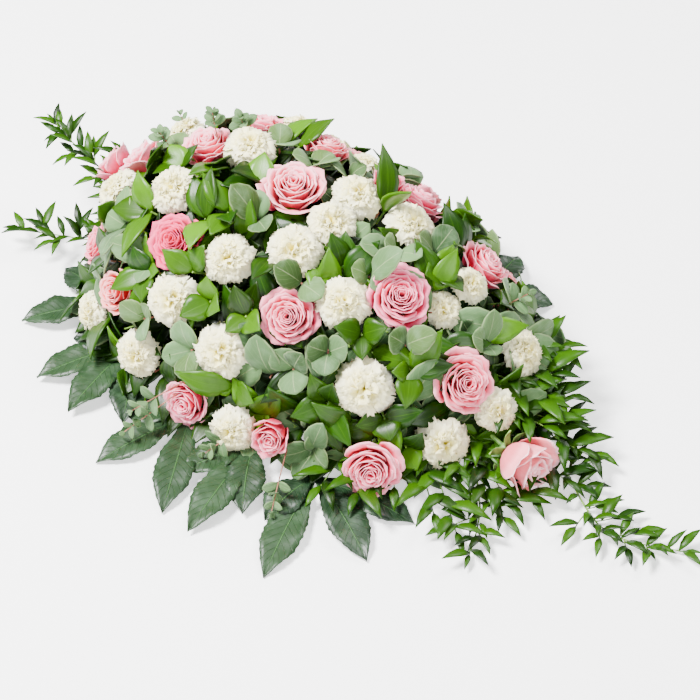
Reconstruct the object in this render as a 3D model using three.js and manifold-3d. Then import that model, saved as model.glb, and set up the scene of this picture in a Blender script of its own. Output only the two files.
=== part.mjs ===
// Casket spray: pink roses and white carnations over ruscus, eucalyptus and aralia leaves,
// every stem standing in a block of wet foam in a shallow plastic tray.
// Millimetres, +Z up, +X towards the tapering tail. The tray's underside is at z = 0.
import * as THREE from "three";
import Module from "manifold-3d";

const wasm = await Module();
wasm.setup();

// Driving dimensions
const MOUND = { broadHalf: 250, tailHalf: 325, halfWidth: 210, height: 220, ridgeX: -80 };
const MOUND_POWER = { broad: 3.2, tail: 2.0 };
const FOAM = { length: 330, width: 120, top: 106, midX: -50, chamfer: 10 };
const TRAY = { wall: 2, height: 28, lip: 3, lipThick: 2, corner: 18 };
// Gap between neighbouring solids, and between a fork and the foam
const CLEAR = 0.35;
const FORK_ROOM = 5;
const STEM = { rose: 3.0, carnation: 2.2, twig: 1.5, petiole: 2.0, runner: 0.9, fine: 1.0 };
const HUB = { x: -60, y: 0, z: 53 };
const FOOT_SHARE = { x: 0.42, y: 0.22, z: 0.22 };
const OUTLINE_MIDDLE = { x: 3.5, y: -25 };

// Where each bloom's head sits in the layout, its diameter, and a further turn in radians on some
const ROSES = [
  [-344, 0, 104, 50], [-292, -2, 140, 56], [-212, 18, 185, 65], [-178, 77, 185, 50],
  [-75, -5, 210, 76, 0.5], [-102, 95, 186, 54], [-95, 130, 145, 40], [-8, 77, 188, 44],
  [8, 117, 145, 64], [116, 91, 128, 64], [97, -46, 175, 72], [5, -123, 152, 68],
  [189, -54, 105, 72], [274, -58, 34, 64], [147, -169, 40, 72], [33, -192, 44, 46],
  [-76, -203, 38, 58], [-209, -158, 97, 52], [-288, -98, 82, 52], [-158, -113, 167, 70],
];
const CARNATIONS = [
  [-287, -58, 136, 56], [-197, -64, 188, 56], [-268, 43, 163, 48], [-153, 20, 213, 58],
  [-168, 128, 160, 48], [-66, 118, 163, 40], [-16, 34, 203, 56], [-12, -20, 203, 54],
  [47, 44, 186, 56], [-25, -71, 193, 60], [-86, -108, 176, 56], [-128, -156, 129, 58],
  [-248, -160, 44, 48], [-155, -190, 55, 54], [-50, -171, 107, 60], [-13, -204, 35, 52],
  [50, -85, 169, 57], [107, -125, 106, 62], [125, -6, 140, 44], [133, 35, 150, 42],
  [189, -94, 44, 56], [219, -36, 66, 48], [202, 41, 83, 54],
];
const FAR_ROSES = [[-235, 135, 112, 60], [-30, 180, 83, 62], [110, 150, 54, 60]];
const FAR_CARNATIONS = [
  [-290, 90, 77, 54], [-215, 178, 35, 52], [-150, 165, 113, 56], [-95, 192, 45, 54],
  [42, 172, 68, 54],
];
// The side that the spray is made to be seen from, and how far its blooms lean that way
const SHOW_SIDE = new THREE.Vector3(0.42, -0.57, 0.71);
const SHOW_LEAN = 0.3;
const SHOW_REACH = 120;
const TAIL_ROSE = 13;
const TAIL_ROSE_FACING = new THREE.Vector3(1, -0.2, 0.02).normalize();

// Leafy shoots: the point of the mound that each one reaches, and its leaves' tips
const RUSCUS_LEFT = [
  { at: [-120, -70, 208], tips: [[-103, -46, 222], [-112, -108, 198], [-88, -92, 206]] },
  { at: [-115, -20, 220], tips: [[-128, 14, 226], [-138, -54, 216], [-158, -34, 220]] },
  { at: [-140, -88, 200], tips: [[-176, -54, 215], [-122, -128, 182]] },
  { at: [-215, -95, 175], tips: [[-238, -68, 190], [-262, -98, 150], [-205, -150, 145]] },
  { at: [-225, -30, 200], tips: [[-246, -12, 196], [-214, -2, 212], [-240, -56, 190]] },
  { at: [-318, -48, 124], tips: [[-342, -64, 112], [-322, -18, 138]] },
  { at: [-255, -130, 115], tips: [[-272, -112, 128], [-248, -148, 92]] },
  { at: [-178, -150, 140], tips: [[-205, -172, 112], [-160, -178, 122], [-196, -140, 160]] },
  { at: [-120, -140, 165], tips: [[-158, -138, 175], [-112, -118, 192]] },
];
const RUSCUS_RIGHT = [
  { at: [30, -58, 196], tips: [[14, -30, 216], [4, -46, 208], [30, 6, 214]] },
  { at: [18, 44, 205], tips: [[-26, 80, 214], [44, 28, 206], [30, 84, 194]] },
  { at: [112, 18, 172], tips: [[104, -12, 184], [142, 8, 166], [100, 50, 182]] },
  { at: [85, -100, 155], tips: [[108, -84, 166], [60, -116, 164]] },
  { at: [145, -90, 125], tips: [[152, -44, 158], [178, -58, 130], [158, -122, 100]] },
  { at: [140, -135, 80], tips: [[176, -112, 100], [156, -146, 66], [118, -160, 78]] },
  { at: [168, -132, 45], tips: [[190, -142, 28], [182, -122, 76]] },
  { at: [80, -160, 90], tips: [[58, -158, 126], [84, -148, 122], [52, -188, 78], [96, -180, 54]] },
  { at: [-38, -150, 150], tips: [[-58, -134, 172], [-8, -156, 150], [-34, -176, 138]] },
  { at: [-85, -155, 150], tips: [[-92, -138, 170], [-60, -162, 155], [-104, -174, 130]] },
  { at: [-25, -195, 78], tips: [[-84, -206, 86], [12, -204, 84]] },
];
const RUSCUS_FAR = [
  { at: [-128, 80, 202], tips: [[-112, 128, 216], [-140, 110, 196]] },
  { at: [-265, 110, 112], tips: [[-286, 118, 118], [-262, 86, 146], [-262, 142, 82]] },
  { at: [-190, 152, 122], tips: [[-206, 132, 150], [-188, 176, 96], [-226, 168, 100]] },
  { at: [-120, 190, 85], tips: [[-122, 176, 122], [-146, 204, 62], [-96, 210, 80]] },
  { at: [-60, 165, 125], tips: [[-86, 158, 146], [-34, 152, 148], [-58, 194, 98]] },
  { at: [20, 190, 50], tips: [[8, 202, 82], [50, 208, 34], [-14, 214, 40]] },
  { at: [72, 135, 115], tips: [[56, 108, 152], [98, 132, 112], [74, 168, 84]] },
  { from: 2, at: [150, 122, 70], tips: [[152, 98, 106], [184, 132, 48], [130, 152, 84]] },
];
const EUCALYPTUS_LEFT = [
  { at: [-85, -62, 210], tips: [[-96, -38, 222], [-112, -60, 218], [-58, -78, 212], [-82, -92, 206]] },
  { at: [-255, 8, 178], tips: [[-278, 22, 178], [-258, -24, 186], [-238, 40, 188]] },
  { at: [-238, 72, 170], tips: [[-258, 74, 176], [-212, 58, 194], [-230, 102, 160]] },
  { at: [-245, -108, 145], tips: [[-268, -104, 146], [-226, -122, 162]] },
  { at: [-160, -185, 100], tips: [[-186, -184, 112], [-138, -196, 92], [-168, -178, 132]] },
  { at: [-88, -188, 95], tips: [[-102, -182, 132], [-72, -204, 76], [-112, -200, 84]] },
];
const EUCALYPTUS_RIGHT = [
  { at: [65, 0, 195], tips: [[52, -12, 208], [92, 4, 196], [66, 28, 204]] },
  { at: [2, -98, 186], tips: [[-24, -104, 192], [36, -104, 184], [10, -72, 202]] },
  { at: [60, -48, 192], tips: [[44, -62, 202], [78, -26, 196], [48, -24, 208]] },
  { at: [90, 38, 182], tips: [[72, 26, 200], [84, 76, 180]] },
  { at: [130, -78, 148], tips: [[112, -88, 160], [148, -60, 156], [152, -98, 138]] },
  { at: [62, -132, 138], tips: [[44, -142, 148], [82, -122, 154], [72, -150, 124]] },
  { at: [35, -162, 118], tips: [[14, -164, 140], [44, -150, 142], [52, -178, 104], [18, -184, 98]] },
  { at: [76, -188, 30], tips: [[50, -210, 26], [106, -204, 24]] },
  {
    from: 4, at: [188, 0, 122],
    tips: [[176, -22, 144], [172, 20, 146], [208, -8, 124], [222, -18, 102], [218, 14, 106]],
  },
];
const EUCALYPTUS_FAR = [
  { at: [-85, 50, 212], tips: [[-102, 30, 226], [-54, 46, 220], [-80, 78, 212]] },
  { at: [-45, 62, 208], tips: [[-62, 46, 220], [-34, 78, 212], [-14, 62, 214]] },
  { at: [-142, 60, 210], tips: [[-158, 84, 210], [-112, 44, 220]] },
  { at: [-240, 165, 65], tips: [[-262, 162, 82], [-222, 186, 66], [-252, 176, 44]] },
  { at: [-160, 196, 55], tips: [[-176, 192, 84], [-136, 212, 44], [-176, 208, 34]] },
  { at: [-30, 140, 150], tips: [[-52, 132, 168], [-6, 146, 156]] },
  { at: [-40, 204, 30], tips: [[-64, 214, 40], [-22, 222, 22], [-44, 208, 64]] },
  { at: [72, 172, 40], tips: [[58, 176, 76], [94, 188, 28], [52, 196, 44]] },
  { at: [160, 80, 100], tips: [[146, 66, 132], [182, 78, 96], [150, 104, 108]] },
];

// Aralia leaves on the table round the mound: the hub, each lobe's tip, and the leaf's height
const ARALIA = [
  { hub: [-262, -112], tips: [[-350, -92], [-332, -188], [-300, -60]], level: 3 },
  { hub: [-200, -146], tips: [[-256, -248], [-192, -268], [-132, -246], [-262, -178]], level: 7 },
  { hub: [-82, -190], tips: [[-122, -304], [-18, -318], [-150, -228]], level: 1 },
  { hub: [2, -184], tips: [[22, -324], [54, -272], [-36, -262]], level: 6 },
  { hub: [84, -184], tips: [[122, -324], [196, -244], [206, -172], [76, -262]], level: 1 },
  { hub: [78, 160], tips: [[146, 194], [70, 238], [-18, 262], [150, 142]], level: 3 },
  { hub: [-190, 150], tips: [[-250, 252], [-170, 274], [-300, 190], [-110, 254]], level: 3 },
];

// Trailing ruscus: each stem's route, and the twigs that leave it
const TRAIL_RIGHT = [
  {
    stem: [[70, 8, 31], [134, 10, 34], [204, 14, 24], [256, 8, 12], [300, -20, 7], [340, -50, 6],
      [375, -68, 6], [415, -62, 6], [450, -44, 5]],
    twigs: [[2.1, [208, 118, 22]], [2.5, [238, 96, 48]], [3.0, [270, 66, 26]], [3.4, [300, 40, 26]],
      [3.9, [332, 12, 22]], [4.4, [352, -14, 12]], [5.1, [372, -20, 10]], [5.6, [398, -20, 9]],
      [6.3, [428, -28, 8]], [5.2, [350, -112, 7]], [5.9, [388, -104, 7]], [6.6, [424, -92, 6]],
      [7.2, [440, -70, 6]]],
  },
  {
    from: 1.4,
    stem: [[162, 12, 30], [176, -22, 26], [200, -52, 16], [232, -92, 9], [262, -128, 7], [276, -168, 6]],
    twigs: [[2.3, [252, -68, 8]], [2.8, [296, -104, 10]], [3.2, [310, -126, 8]], [3.5, [222, -146, 10]],
      [3.9, [228, -184, 8]], [4.4, [298, -166, 8]]],
  },
];
const TRAIL_LEFT = [
  {
    stem: [[-170, 8, 36], [-226, 10, 38], [-300, 12, 46], [-362, 8, 74], [-415, 10, 92], [-446, 18, 100]],
    twigs: [[3.0, [-392, -22, 62]], [3.4, [-404, 34, 96]], [3.8, [-430, -14, 70]], [4.2, [-438, 36, 112]],
      [4.7, [-452, -2, 88]]],
  },
  {
    from: 1.35,
    stem: [[-252, 11, 41], [-270, -22, 38], [-300, -46, 34], [-360, -66, 30], [-410, -82, 24]],
    twigs: [[2.4, [-342, -28, 62]], [2.8, [-378, -34, 52]], [3.2, [-388, -102, 20]],
      [3.6, [-424, -56, 36]]],
  },
];

const COLOURS = {
  rose: 0xe79aae, carnation: 0xf7f4e2, ruscus: 0x3f7d20, trail: 0x2f7a26, eucalyptus: 0x8fa88c,
  aralia: 0x23502a, foam: 0x3f5f3a, tray: 0x1f4a2c,
};

const vec = ([x, y, z]) => new THREE.Vector3(x, y, z);
const between = (a, b, t) => a.clone().lerp(b, t);

// A repeatable draw from 0 to 1 for each whole number
function draw(n) {
  const s = Math.sin(n * 12.9898 + 4.1) * 43758.5453;
  return s - Math.floor(s);
}

// The mound that the blooms follow: 0 on its surface, less inside
function moundValue(p, grow) {
  const broad = p.x < MOUND.ridgeX;
  const half = (broad ? MOUND.broadHalf : MOUND.tailHalf) + grow;
  const power = broad ? MOUND_POWER.broad : MOUND_POWER.tail;
  return Math.abs((p.x - MOUND.ridgeX) / half) ** power
    + (p.y / (MOUND.halfWidth + grow)) ** 2 + (p.z / (MOUND.height + grow)) ** 2 - 1;
}

function moundNormal(p) {
  const broad = p.x < MOUND.ridgeX;
  const half = broad ? MOUND.broadHalf : MOUND.tailHalf;
  const power = broad ? MOUND_POWER.broad : MOUND_POWER.tail;
  const u = (p.x - MOUND.ridgeX) / half;
  const nx = Math.sign(u) * (power / 2) * Math.abs(u) ** (power - 1) / half;
  return new THREE.Vector3(nx, p.y / MOUND.halfWidth ** 2, p.z / MOUND.height ** 2).normalize();
}

// The point under p on the mound grown by so much, along the mound's normal
function onMound(p, grow) {
  const normal = moundNormal(p);
  let low = -90;
  let high = 90;
  for (let i = 0; i < 40; i++) {
    const middle = (low + high) / 2;
    if (moundValue(p.clone().addScaledVector(normal, middle), grow) > 0) high = middle;
    else low = middle;
  }
  return p.clone().addScaledVector(normal, low);
}

// Where the stem that carries p ends in the foam
function footOf(p) {
  return new THREE.Vector3(
    HUB.x + FOOT_SHARE.x * (p.x - HUB.x),
    HUB.y + FOOT_SHARE.y * (p.y - HUB.y),
    HUB.z + FOOT_SHARE.z * (p.z - HUB.z),
  );
}

// The first point from foot to head, at or past a share of the way, that is well out of the foam
function forkOn(foot, head, depth) {
  for (let share = depth; share < 1; share += 0.03) {
    const p = between(foot, head, share);
    const inside = Math.abs(p.x - FOAM.midX) < FOAM.length / 2 + FORK_ROOM
      && Math.abs(p.y) < FOAM.width / 2 + FORK_ROOM && p.z < FOAM.top + FORK_ROOM;
    if (!inside) return p;
  }
  throw new Error("a stem has no fork outside the foam");
}

// Two directions square to an axis, turned round it by an angle
function acrossAxes(axis, turn) {
  const helper = Math.abs(axis.z) < 0.9 ? new THREE.Vector3(0, 0, 1) : new THREE.Vector3(1, 0, 0);
  const u = helper.cross(axis).normalize().applyAxisAngle(axis, turn);
  return [u, axis.clone().cross(u)];
}

// The two triangles of a quad, split along the diagonal that stands proud. Points a and b are on one
// ring, and c and d are next to them on the ring above
function quadFaces(points, [a, b, c, d]) {
  const [p, q, r, s] = [a, b, c, d].map((i) => points[i]);
  const outward = q.clone().sub(p).cross(s.clone().sub(p));
  return outward.dot(r.clone().sub(p)) <= 0 ? [[a, b, d], [a, d, c]] : [[a, b, c], [b, d, c]];
}

// A closed solid through rings, each anticlockwise seen from the last ring. A ring has as many points
// as the one before it, or twice as many, or it is a single point
function loft(rings) {
  const points = rings.flat();
  const start = [];
  rings.reduce((sum, ring) => (start.push(sum), sum + ring.length), 0);
  const index = [];
  for (let r = 0; r + 1 < rings.length; r++) {
    const count = rings[r].length;
    const above = rings[r + 1].length;
    for (let i = 0; i < count; i++) {
      const [a, b] = [start[r] + i, start[r] + ((i + 1) % count)];
      const upper = (k) => start[r + 1] + (k % above);
      if (above === 1) index.push(a, b, start[r + 1]);
      else if (above === count) index.push(...quadFaces(points, [a, b, upper(i), upper(i + 1)]).flat());
      else {
        const middle = upper(2 * i + 1);
        index.push(a, middle, upper(2 * i), a, b, middle, b, upper(2 * i + 2), middle);
      }
    }
  }
  for (let i = 1; i + 1 < rings[0].length; i++) index.push(0, i + 1, i);
  const last = start.at(-1);
  for (let i = 1; i + 1 < rings.at(-1).length; i++) index.push(last, last + i, last + i + 1);
  return solidFrom(points.flatMap((p) => [p.x, p.y, p.z]), index);
}

function solidFrom(numbers, index) {
  return new wasm.Manifold(new wasm.Mesh({
    numProp: 3, vertProperties: new Float32Array(numbers), triVerts: new Uint32Array(index),
  }));
}

function geometryOf(solid) {
  const { vertProperties, triVerts } = solid.getMesh();
  const geometry = new THREE.BufferGeometry();
  geometry.setAttribute("position", new THREE.BufferAttribute(new Float32Array(vertProperties), 3));
  geometry.setIndex(new THREE.BufferAttribute(new Uint32Array(triVerts), 1));
  return geometry;
}

// A rod with flat sides through a few points, which runs past both ends by its own radius
function rod(points, radius, sides) {
  const last = points.length - 1;
  const way = points.map((p, i) => points[Math.min(i + 1, last)].clone()
    .sub(points[Math.max(i - 1, 0)]).normalize());
  const [u] = acrossAxes(points[last].clone().sub(points[0]).normalize(), 0);
  return loft(points.map((p, i) => {
    const axis = way[i];
    const a = u.clone().addScaledVector(axis, -u.dot(axis)).normalize();
    const b = axis.clone().cross(a);
    const past = i === 0 ? -radius : i === last ? radius : 0;
    return Array.from({ length: sides }, (_, k) => {
      const angle = (2 * Math.PI * k) / sides;
      return p.clone().addScaledVector(axis, past).addScaledVector(a, radius * Math.cos(angle))
        .addScaledVector(b, radius * Math.sin(angle));
    });
  }));
}

// Rows of a rose from its calyx to its heart, for a diameter of 1:
// [radius at a petal's middle, radius between petals, height at the middle, height between, petal offset]
const ROSE_ROWS = [
  [0.32, 0.25, -0.35, -0.33, 0], [0.5, 0.38, -0.08, -0.01, 0],
  [0.4, 0.31, -0.05, -0.02, 0], [0.43, 0.3, 0.04, 0.0, 1],
  [0.31, 0.25, 0.03, -0.03, 1], [0.31, 0.22, 0.13, 0.06, 0], [0.21, 0.16, 0.08, 0.03, 0],
  [0.2, 0.12, 0.17, 0.1, 1], [0.08, 0.07, 0.08, 0.08, 1],
];
// The same for a carnation: its long calyx, three frilled tiers and the tuft
const CARNATION_ROWS = [
  [0.14, 0.14, -0.3, -0.3, 0], [0.5, 0.42, -0.05, 0.05, 0],
  [0.36, 0.36, 0.06, 0.06, 0], [0.38, 0.3, 0.17, 0.11, 1], [0.22, 0.22, 0.13, 0.13, 1],
  [0.22, 0.14, 0.25, 0.18, 0],
];

// A bloom on its straight stem: rows of petals round the head's axis, then the foot in the foam
function bloom({ centre, facing, size, rows, petals, stemRadius, turn, neckDepth, heart }) {
  const [u, v] = acrossAxes(facing, turn);
  const count = petals * 2;
  const place = (row, i) => {
    const middle = (i + row[4]) % 2 === 0;
    const angle = (2 * Math.PI * i) / count;
    const radius = size * (middle ? row[0] : row[1]);
    return centre.clone().addScaledVector(facing, size * (middle ? row[2] : row[3]))
      .addScaledVector(u, radius * Math.cos(angle)).addScaledVector(v, radius * Math.sin(angle));
  };
  const foot = footOf(centre);
  const neck = centre.clone().addScaledVector(facing, -size * neckDepth);
  const along = neck.clone().sub(foot).normalize();
  const round = (middle, axis) => Array.from({ length: petals }, (_, i) => {
    const angle = (2 * Math.PI * i) / petals;
    const arm = u.clone().multiplyScalar(Math.cos(angle)).addScaledVector(v, Math.sin(angle));
    arm.addScaledVector(axis, -arm.dot(axis));
    return middle.clone().addScaledVector(arm, stemRadius);
  });
  const rings = [round(foot, along), round(neck, along)];
  for (const row of rows) rings.push(Array.from({ length: count }, (_, i) => place(row, i)));
  rings.push([centre.clone().addScaledVector(facing, size * heart)]);
  return { head: loft(rings), foot, neck, stemRadius };
}

// Blooms face out of the mound, and those on its show side lean a little to the front
function bloomFacing(centre) {
  const lean = SHOW_LEAN * THREE.MathUtils.clamp((SHOW_REACH - centre.y) / SHOW_REACH, 0, 1);
  return moundNormal(centre).addScaledVector(SHOW_SIDE, lean).normalize();
}

function roseAt([x, y, z, size, furtherTurn = 0], n) {
  const centre = new THREE.Vector3(x, y, z);
  return bloom({
    centre, size, rows: ROSE_ROWS, petals: 5, stemRadius: STEM.rose, neckDepth: 0.52, heart: 0.14,
    facing: n === TAIL_ROSE ? TAIL_ROSE_FACING : bloomFacing(centre),
    turn: 2 * Math.PI * draw(n + 1) + furtherTurn,
  });
}

function carnationAt([x, y, z, size], n) {
  const centre = new THREE.Vector3(x, y, z);
  return bloom({
    centre, size, rows: CARNATION_ROWS, petals: 6, stemRadius: STEM.carnation, neckDepth: 0.64, heart: 0.17,
    facing: bloomFacing(centre), turn: 2 * Math.PI * draw(n + 101),
  });
}

// Everything placed so far, so that what grows later keeps clear of it
const placed = [];

function note(name, solid) {
  placed.push({ name, solid, box: solid.boundingBox() });
}

function isClear(name, solid, rooted = false) {
  const box = solid.boundingBox();
  return placed.every((other) => {
    if (other.name === name || (rooted && other.name === "foam_block")) return true;
    for (let k = 0; k < 3; k++) {
      if (box.min[k] > other.box.max[k] + CLEAR || box.max[k] < other.box.min[k] - CLEAR) return true;
    }
    return other.solid.minGap(solid, CLEAR) >= CLEAR;
  });
}

// Leaves: full width, rows as [share of the length, share of the width], rib height and arch
const RUSCUS_LEAF = { width: 25, rows: [[0.32, 0.92], [0.64, 0.84]], thick: 1.5, arch: 0.07 };
const EUCALYPTUS_LEAF = { width: 28, rows: [[0.42, 0.9], [0.78, 0.82]], thick: 1.4, arch: 0.05 };
const TRAIL_LEAF = { width: 10.5, rows: [[0.45, 1]], thick: 1.3, arch: 0.05 };

// Lifts off the mound that a leaf's tip tries, in turn, until the leaf is clear of its neighbours
const LIFTS = [2, 8, 14, -4, 20, 27, 34, 42];
// Heights above its place that a trailing leaf's tip tries
const TIP_LIFTS = [0, 5, 10, -4, 16, 24];
// Sideways and outward bends that a twig tries in the same way, in millimetres
const BENDS = [
  [0, 0], [12, 0], [-12, 0], [22, 0], [-22, 0], [0, 14], [0, -14], [12, 14], [-12, 14], [12, -14],
  [-12, -14], [24, 14], [-24, 14], [24, -14], [-24, -14], [34, 0], [-34, 0], [34, 16], [-34, 16],
  [0, 28], [0, -28], [14, 28], [-14, 28], [26, 28], [-26, 28], [0, 42], [18, 42], [-18, 42], [34, 42],
  [-34, 42],
];
// Further leaves round a shoot's end: how many, how far out, their lifts and their lowest tip
const SPARE_LEAVES = 4;
const SPARE_REACH = 46;
const SPARE_LIFTS = [6, 0, 12, -8];
const SPARE_LOWEST = 20;
// The least cosine between a face's outward side and what grows from it
const LEAST_FACING = 0.3;
// Length of the stretch of twig that leaves and side twigs grow from
const NODE_LENGTH = 5;
// How far under the mound's surface a shoot ends
const SHOOT_DEPTH = 16;
const FLAT_UP = new THREE.Vector3(0, 0, 1);

// The three corners of a leaf at one row: an edge, the raised rib and the other edge
function leafSection(base, tip, up, { width, thick, arch }, [share, spread]) {
  const along = tip.clone().sub(base);
  const length = along.length();
  along.normalize();
  const side = along.clone().cross(up).normalize();
  const lift = side.clone().cross(along);
  const middle = base.clone().addScaledVector(along, share * length)
    .addScaledVector(lift, arch * length * Math.sin(Math.PI * share));
  const half = (width / 2) * spread;
  return [
    middle.clone().addScaledVector(side, -half), middle.clone().addScaledVector(lift, thick),
    middle.clone().addScaledVector(side, half),
  ];
}

function middleOf(ring) {
  return ring.reduce((sum, p) => sum.add(p), new THREE.Vector3()).divideScalar(ring.length);
}

// Whether the edge from p to q passes through a triangle
function pierces(p, q, [a, b, c]) {
  const normal = b.clone().sub(a).cross(c.clone().sub(a));
  const above = normal.dot(p.clone().sub(a));
  const below = normal.dot(q.clone().sub(a));
  if (above * below >= 0) return false;
  const x = between(p, q, above / (above - below));
  const inside = ([u, v]) => normal.dot(v.clone().sub(u).cross(x.clone().sub(u))) > 0;
  return [[a, b], [b, c], [c, a]].every(inside);
}

// A branching plant as one closed skin: three-sided tubes that grow out of each other's faces
class Plant {
  constructor(name) {
    this.name = name;
    this.points = [];
    this.boxes = new Map();
    this.pieces = [];
  }

  get faces() {
    return [...this.boxes.keys()];
  }

  addFace(face) {
    this.boxes.set(face, new THREE.Box3().setFromPoints(this.corners(face)));
  }

  // Whether an edge of one face passes through the other, apart from edges that meet at a corner
  facesCross(one, other) {
    return [[one, other], [other, one]].some(([edges, face]) => edges.some((p, i) => {
      const q = edges[(i + 1) % 3];
      return !face.includes(p) && !face.includes(q)
        && pierces(this.points[p], this.points[q], this.corners(face));
    }));
  }

  cutsSkin(face) {
    const box = this.boxes.get(face);
    for (const [other, otherBox] of this.boxes) {
      if (other !== face && box.intersectsBox(otherBox) && this.facesCross(face, other)) return true;
    }
    return false;
  }

  addRing(ring) {
    return ring.map((p) => this.points.push(p) - 1);
  }

  // Three corners round a centre, square to an axis and lined up with the ring before
  section(before, centre, axis, radius) {
    const u = before ? before[0].clone().sub(middleOf(before)) : acrossAxes(axis, 0)[0];
    u.addScaledVector(axis, -u.dot(axis)).normalize();
    const v = axis.clone().cross(u);
    return [0, 1, 2].map((k) => centre.clone().addScaledVector(u, radius * Math.cos((2 * Math.PI * k) / 3))
      .addScaledVector(v, radius * Math.sin((2 * Math.PI * k) / 3)));
  }

  // The tube's rings through a list of [centre, radius], after a first ring
  rings(first, way) {
    const made = [first];
    way.forEach(([centre, radius], i) => {
      const ahead = i + 1 < way.length ? way[i + 1][0] : centre;
      const axis = ahead.clone().sub(i === 0 ? middleOf(first) : way[i - 1][0]).normalize();
      made.push(this.section(made.at(-1), centre, axis, radius));
    });
    return made;
  }

  corners(open) {
    return open.map((i) => this.points[i]);
  }

  start(centre, axis, radius) {
    const open = this.addRing(this.section(null, centre, axis, radius));
    this.addFace([open[0], open[2], open[1]]);
    return open;
  }

  // The faces still there that look towards a point, the most nearly so first
  facesToward(among, point) {
    const facing = (face) => {
      const [a, b, c] = this.corners(face);
      const way = point.clone().sub(middleOf([a, b, c])).normalize();
      return b.clone().sub(a).cross(c.clone().sub(a)).normalize().dot(way);
    };
    return among.filter((face) => this.boxes.has(face) && facing(face) > LEAST_FACING)
      .sort((p, q) => facing(q) - facing(p));
  }

  // Skins the rings onto an open ring or in place of a face, and returns the new open ring and each
  // stretch's faces. Where the new skin would cut the plant's own, nothing is grown
  skin(from, rings) {
    const count = this.points.length;
    const replaced = this.boxes.delete(from);
    const stretches = [];
    let open = from;
    for (const ring of rings) {
      const next = this.addRing(ring.length === 1 ? ring : nearestTurn(this.corners(open), ring));
      const faces = [0, 1, 2].flatMap((i) => {
        const j = (i + 1) % 3;
        if (next.length === 1) return [[open[i], open[j], next[0]]];
        return quadFaces(this.points, [open[i], open[j], next[i], next[j]]);
      });
      faces.forEach((face) => this.addFace(face));
      stretches.push(faces);
      open = next;
    }
    if (!stretches.flat().some((face) => this.cutsSkin(face))) return { open, stretches };
    stretches.flat().forEach((face) => this.boxes.delete(face));
    this.points.length = count;
    if (replaced) this.addFace(from);
    return null;
  }

  close(open) {
    const cap = [open[0], open[1], open[2]];
    this.addFace(cap);
    return cap;
  }

  remember(solid) {
    this.pieces.push(solid);
    note(this.name, solid);
  }

  // Clear of every other node, and not through another piece of this plant
  hasRoom(solid, rooted = false) {
    return solid.boundingBox().min[2] > 0.5 && isClear(this.name, solid, rooted)
      && this.pieces.every((own) => own.intersect(solid).volume() < TOUCH_VOLUME);
  }

  solid() {
    return solidFrom(this.points.flatMap((p) => [p.x, p.y, p.z]), this.faces.flat());
  }
}

// Two pieces of one plant that share no more than this, in cubic millimetres, only touch
const TOUCH_VOLUME = 0.001;

// A ring's corners in the order that twists least from the ring before
function nearestTurn(before, ring) {
  const cost = (shift) => before.reduce((sum, p, i) => sum + p.distanceToSquared(ring[(i + shift) % 3]), 0);
  const shift = [0, 1, 2].sort((p, q) => cost(p) - cost(q))[0];
  return ring.map((_, i) => ring[(i + shift) % 3]);
}

function skinSolid(rings) {
  const ordered = [rings[0]];
  for (const ring of rings.slice(1)) {
    ordered.push(ring.length === 1 ? ring : nearestTurn(ordered.at(-1), ring));
  }
  return loft(ordered);
}

// Grows a leaf from one of some faces where it finds room; tipAt gives the tip for each lift it tries
function growLeaf(plant, faces, leaf, lifts, tipAt, upAt) {
  for (const lift of lifts) {
    const tip = tipAt(lift);
    for (const face of plant.facesToward(faces, tip)) {
      const corners = plant.corners(face);
      const base = middleOf(corners);
      const rings = [...leaf.rows.map((row) => leafSection(base, tip, upAt(tip), leaf, row)), [tip]];
      const solid = skinSolid([corners, ...rings]);
      if (!plant.hasRoom(solid) || !plant.skin(face, rings)) continue;
      plant.remember(solid);
      return;
    }
  }
}

// Grows a twig through the first bend that has room, and returns its open end and its last faces
function growTwig(plant, open, from, to, ahead, radius, rooted = false) {
  const middle = between(from, to, 0.5);
  const out = moundNormal(middle);
  const side = to.clone().sub(from).cross(out).normalize();
  const corners = plant.corners(open);
  for (const [sideways, outward] of BENDS) {
    const knee = middle.clone().addScaledVector(side, sideways).addScaledVector(out, outward);
    const way = [...(sideways || outward ? [knee] : []), to, ahead].map((p) => [p, radius]);
    const rings = plant.rings(corners, way);
    const solid = skinSolid(rings);
    const grown = plant.hasRoom(solid, rooted) && plant.skin(open, rings.slice(1));
    if (!grown) continue;
    plant.remember(solid);
    return grown;
  }
  return null;
}

// What the first of some faces with room grows
function firstGrown(faces, grow) {
  for (const face of faces) {
    const grown = grow(face);
    if (grown) return grown;
  }
  throw new Error("no room for a twig on any face");
}

// Places round a shoot's end where one more leaf may reach if nothing is in its way
function spareTips(end, seed) {
  const [u, v] = acrossAxes(moundNormal(end), 2 * Math.PI * draw(seed));
  return Array.from({ length: SPARE_LEAVES }, (_, k) => {
    const angle = (2 * Math.PI * k) / SPARE_LEAVES;
    const reach = SPARE_REACH * (0.85 + 0.3 * draw(seed + k + 1));
    return end.clone().addScaledVector(u, reach * Math.cos(angle))
      .addScaledVector(v, reach * Math.sin(angle));
  });
}

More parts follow.
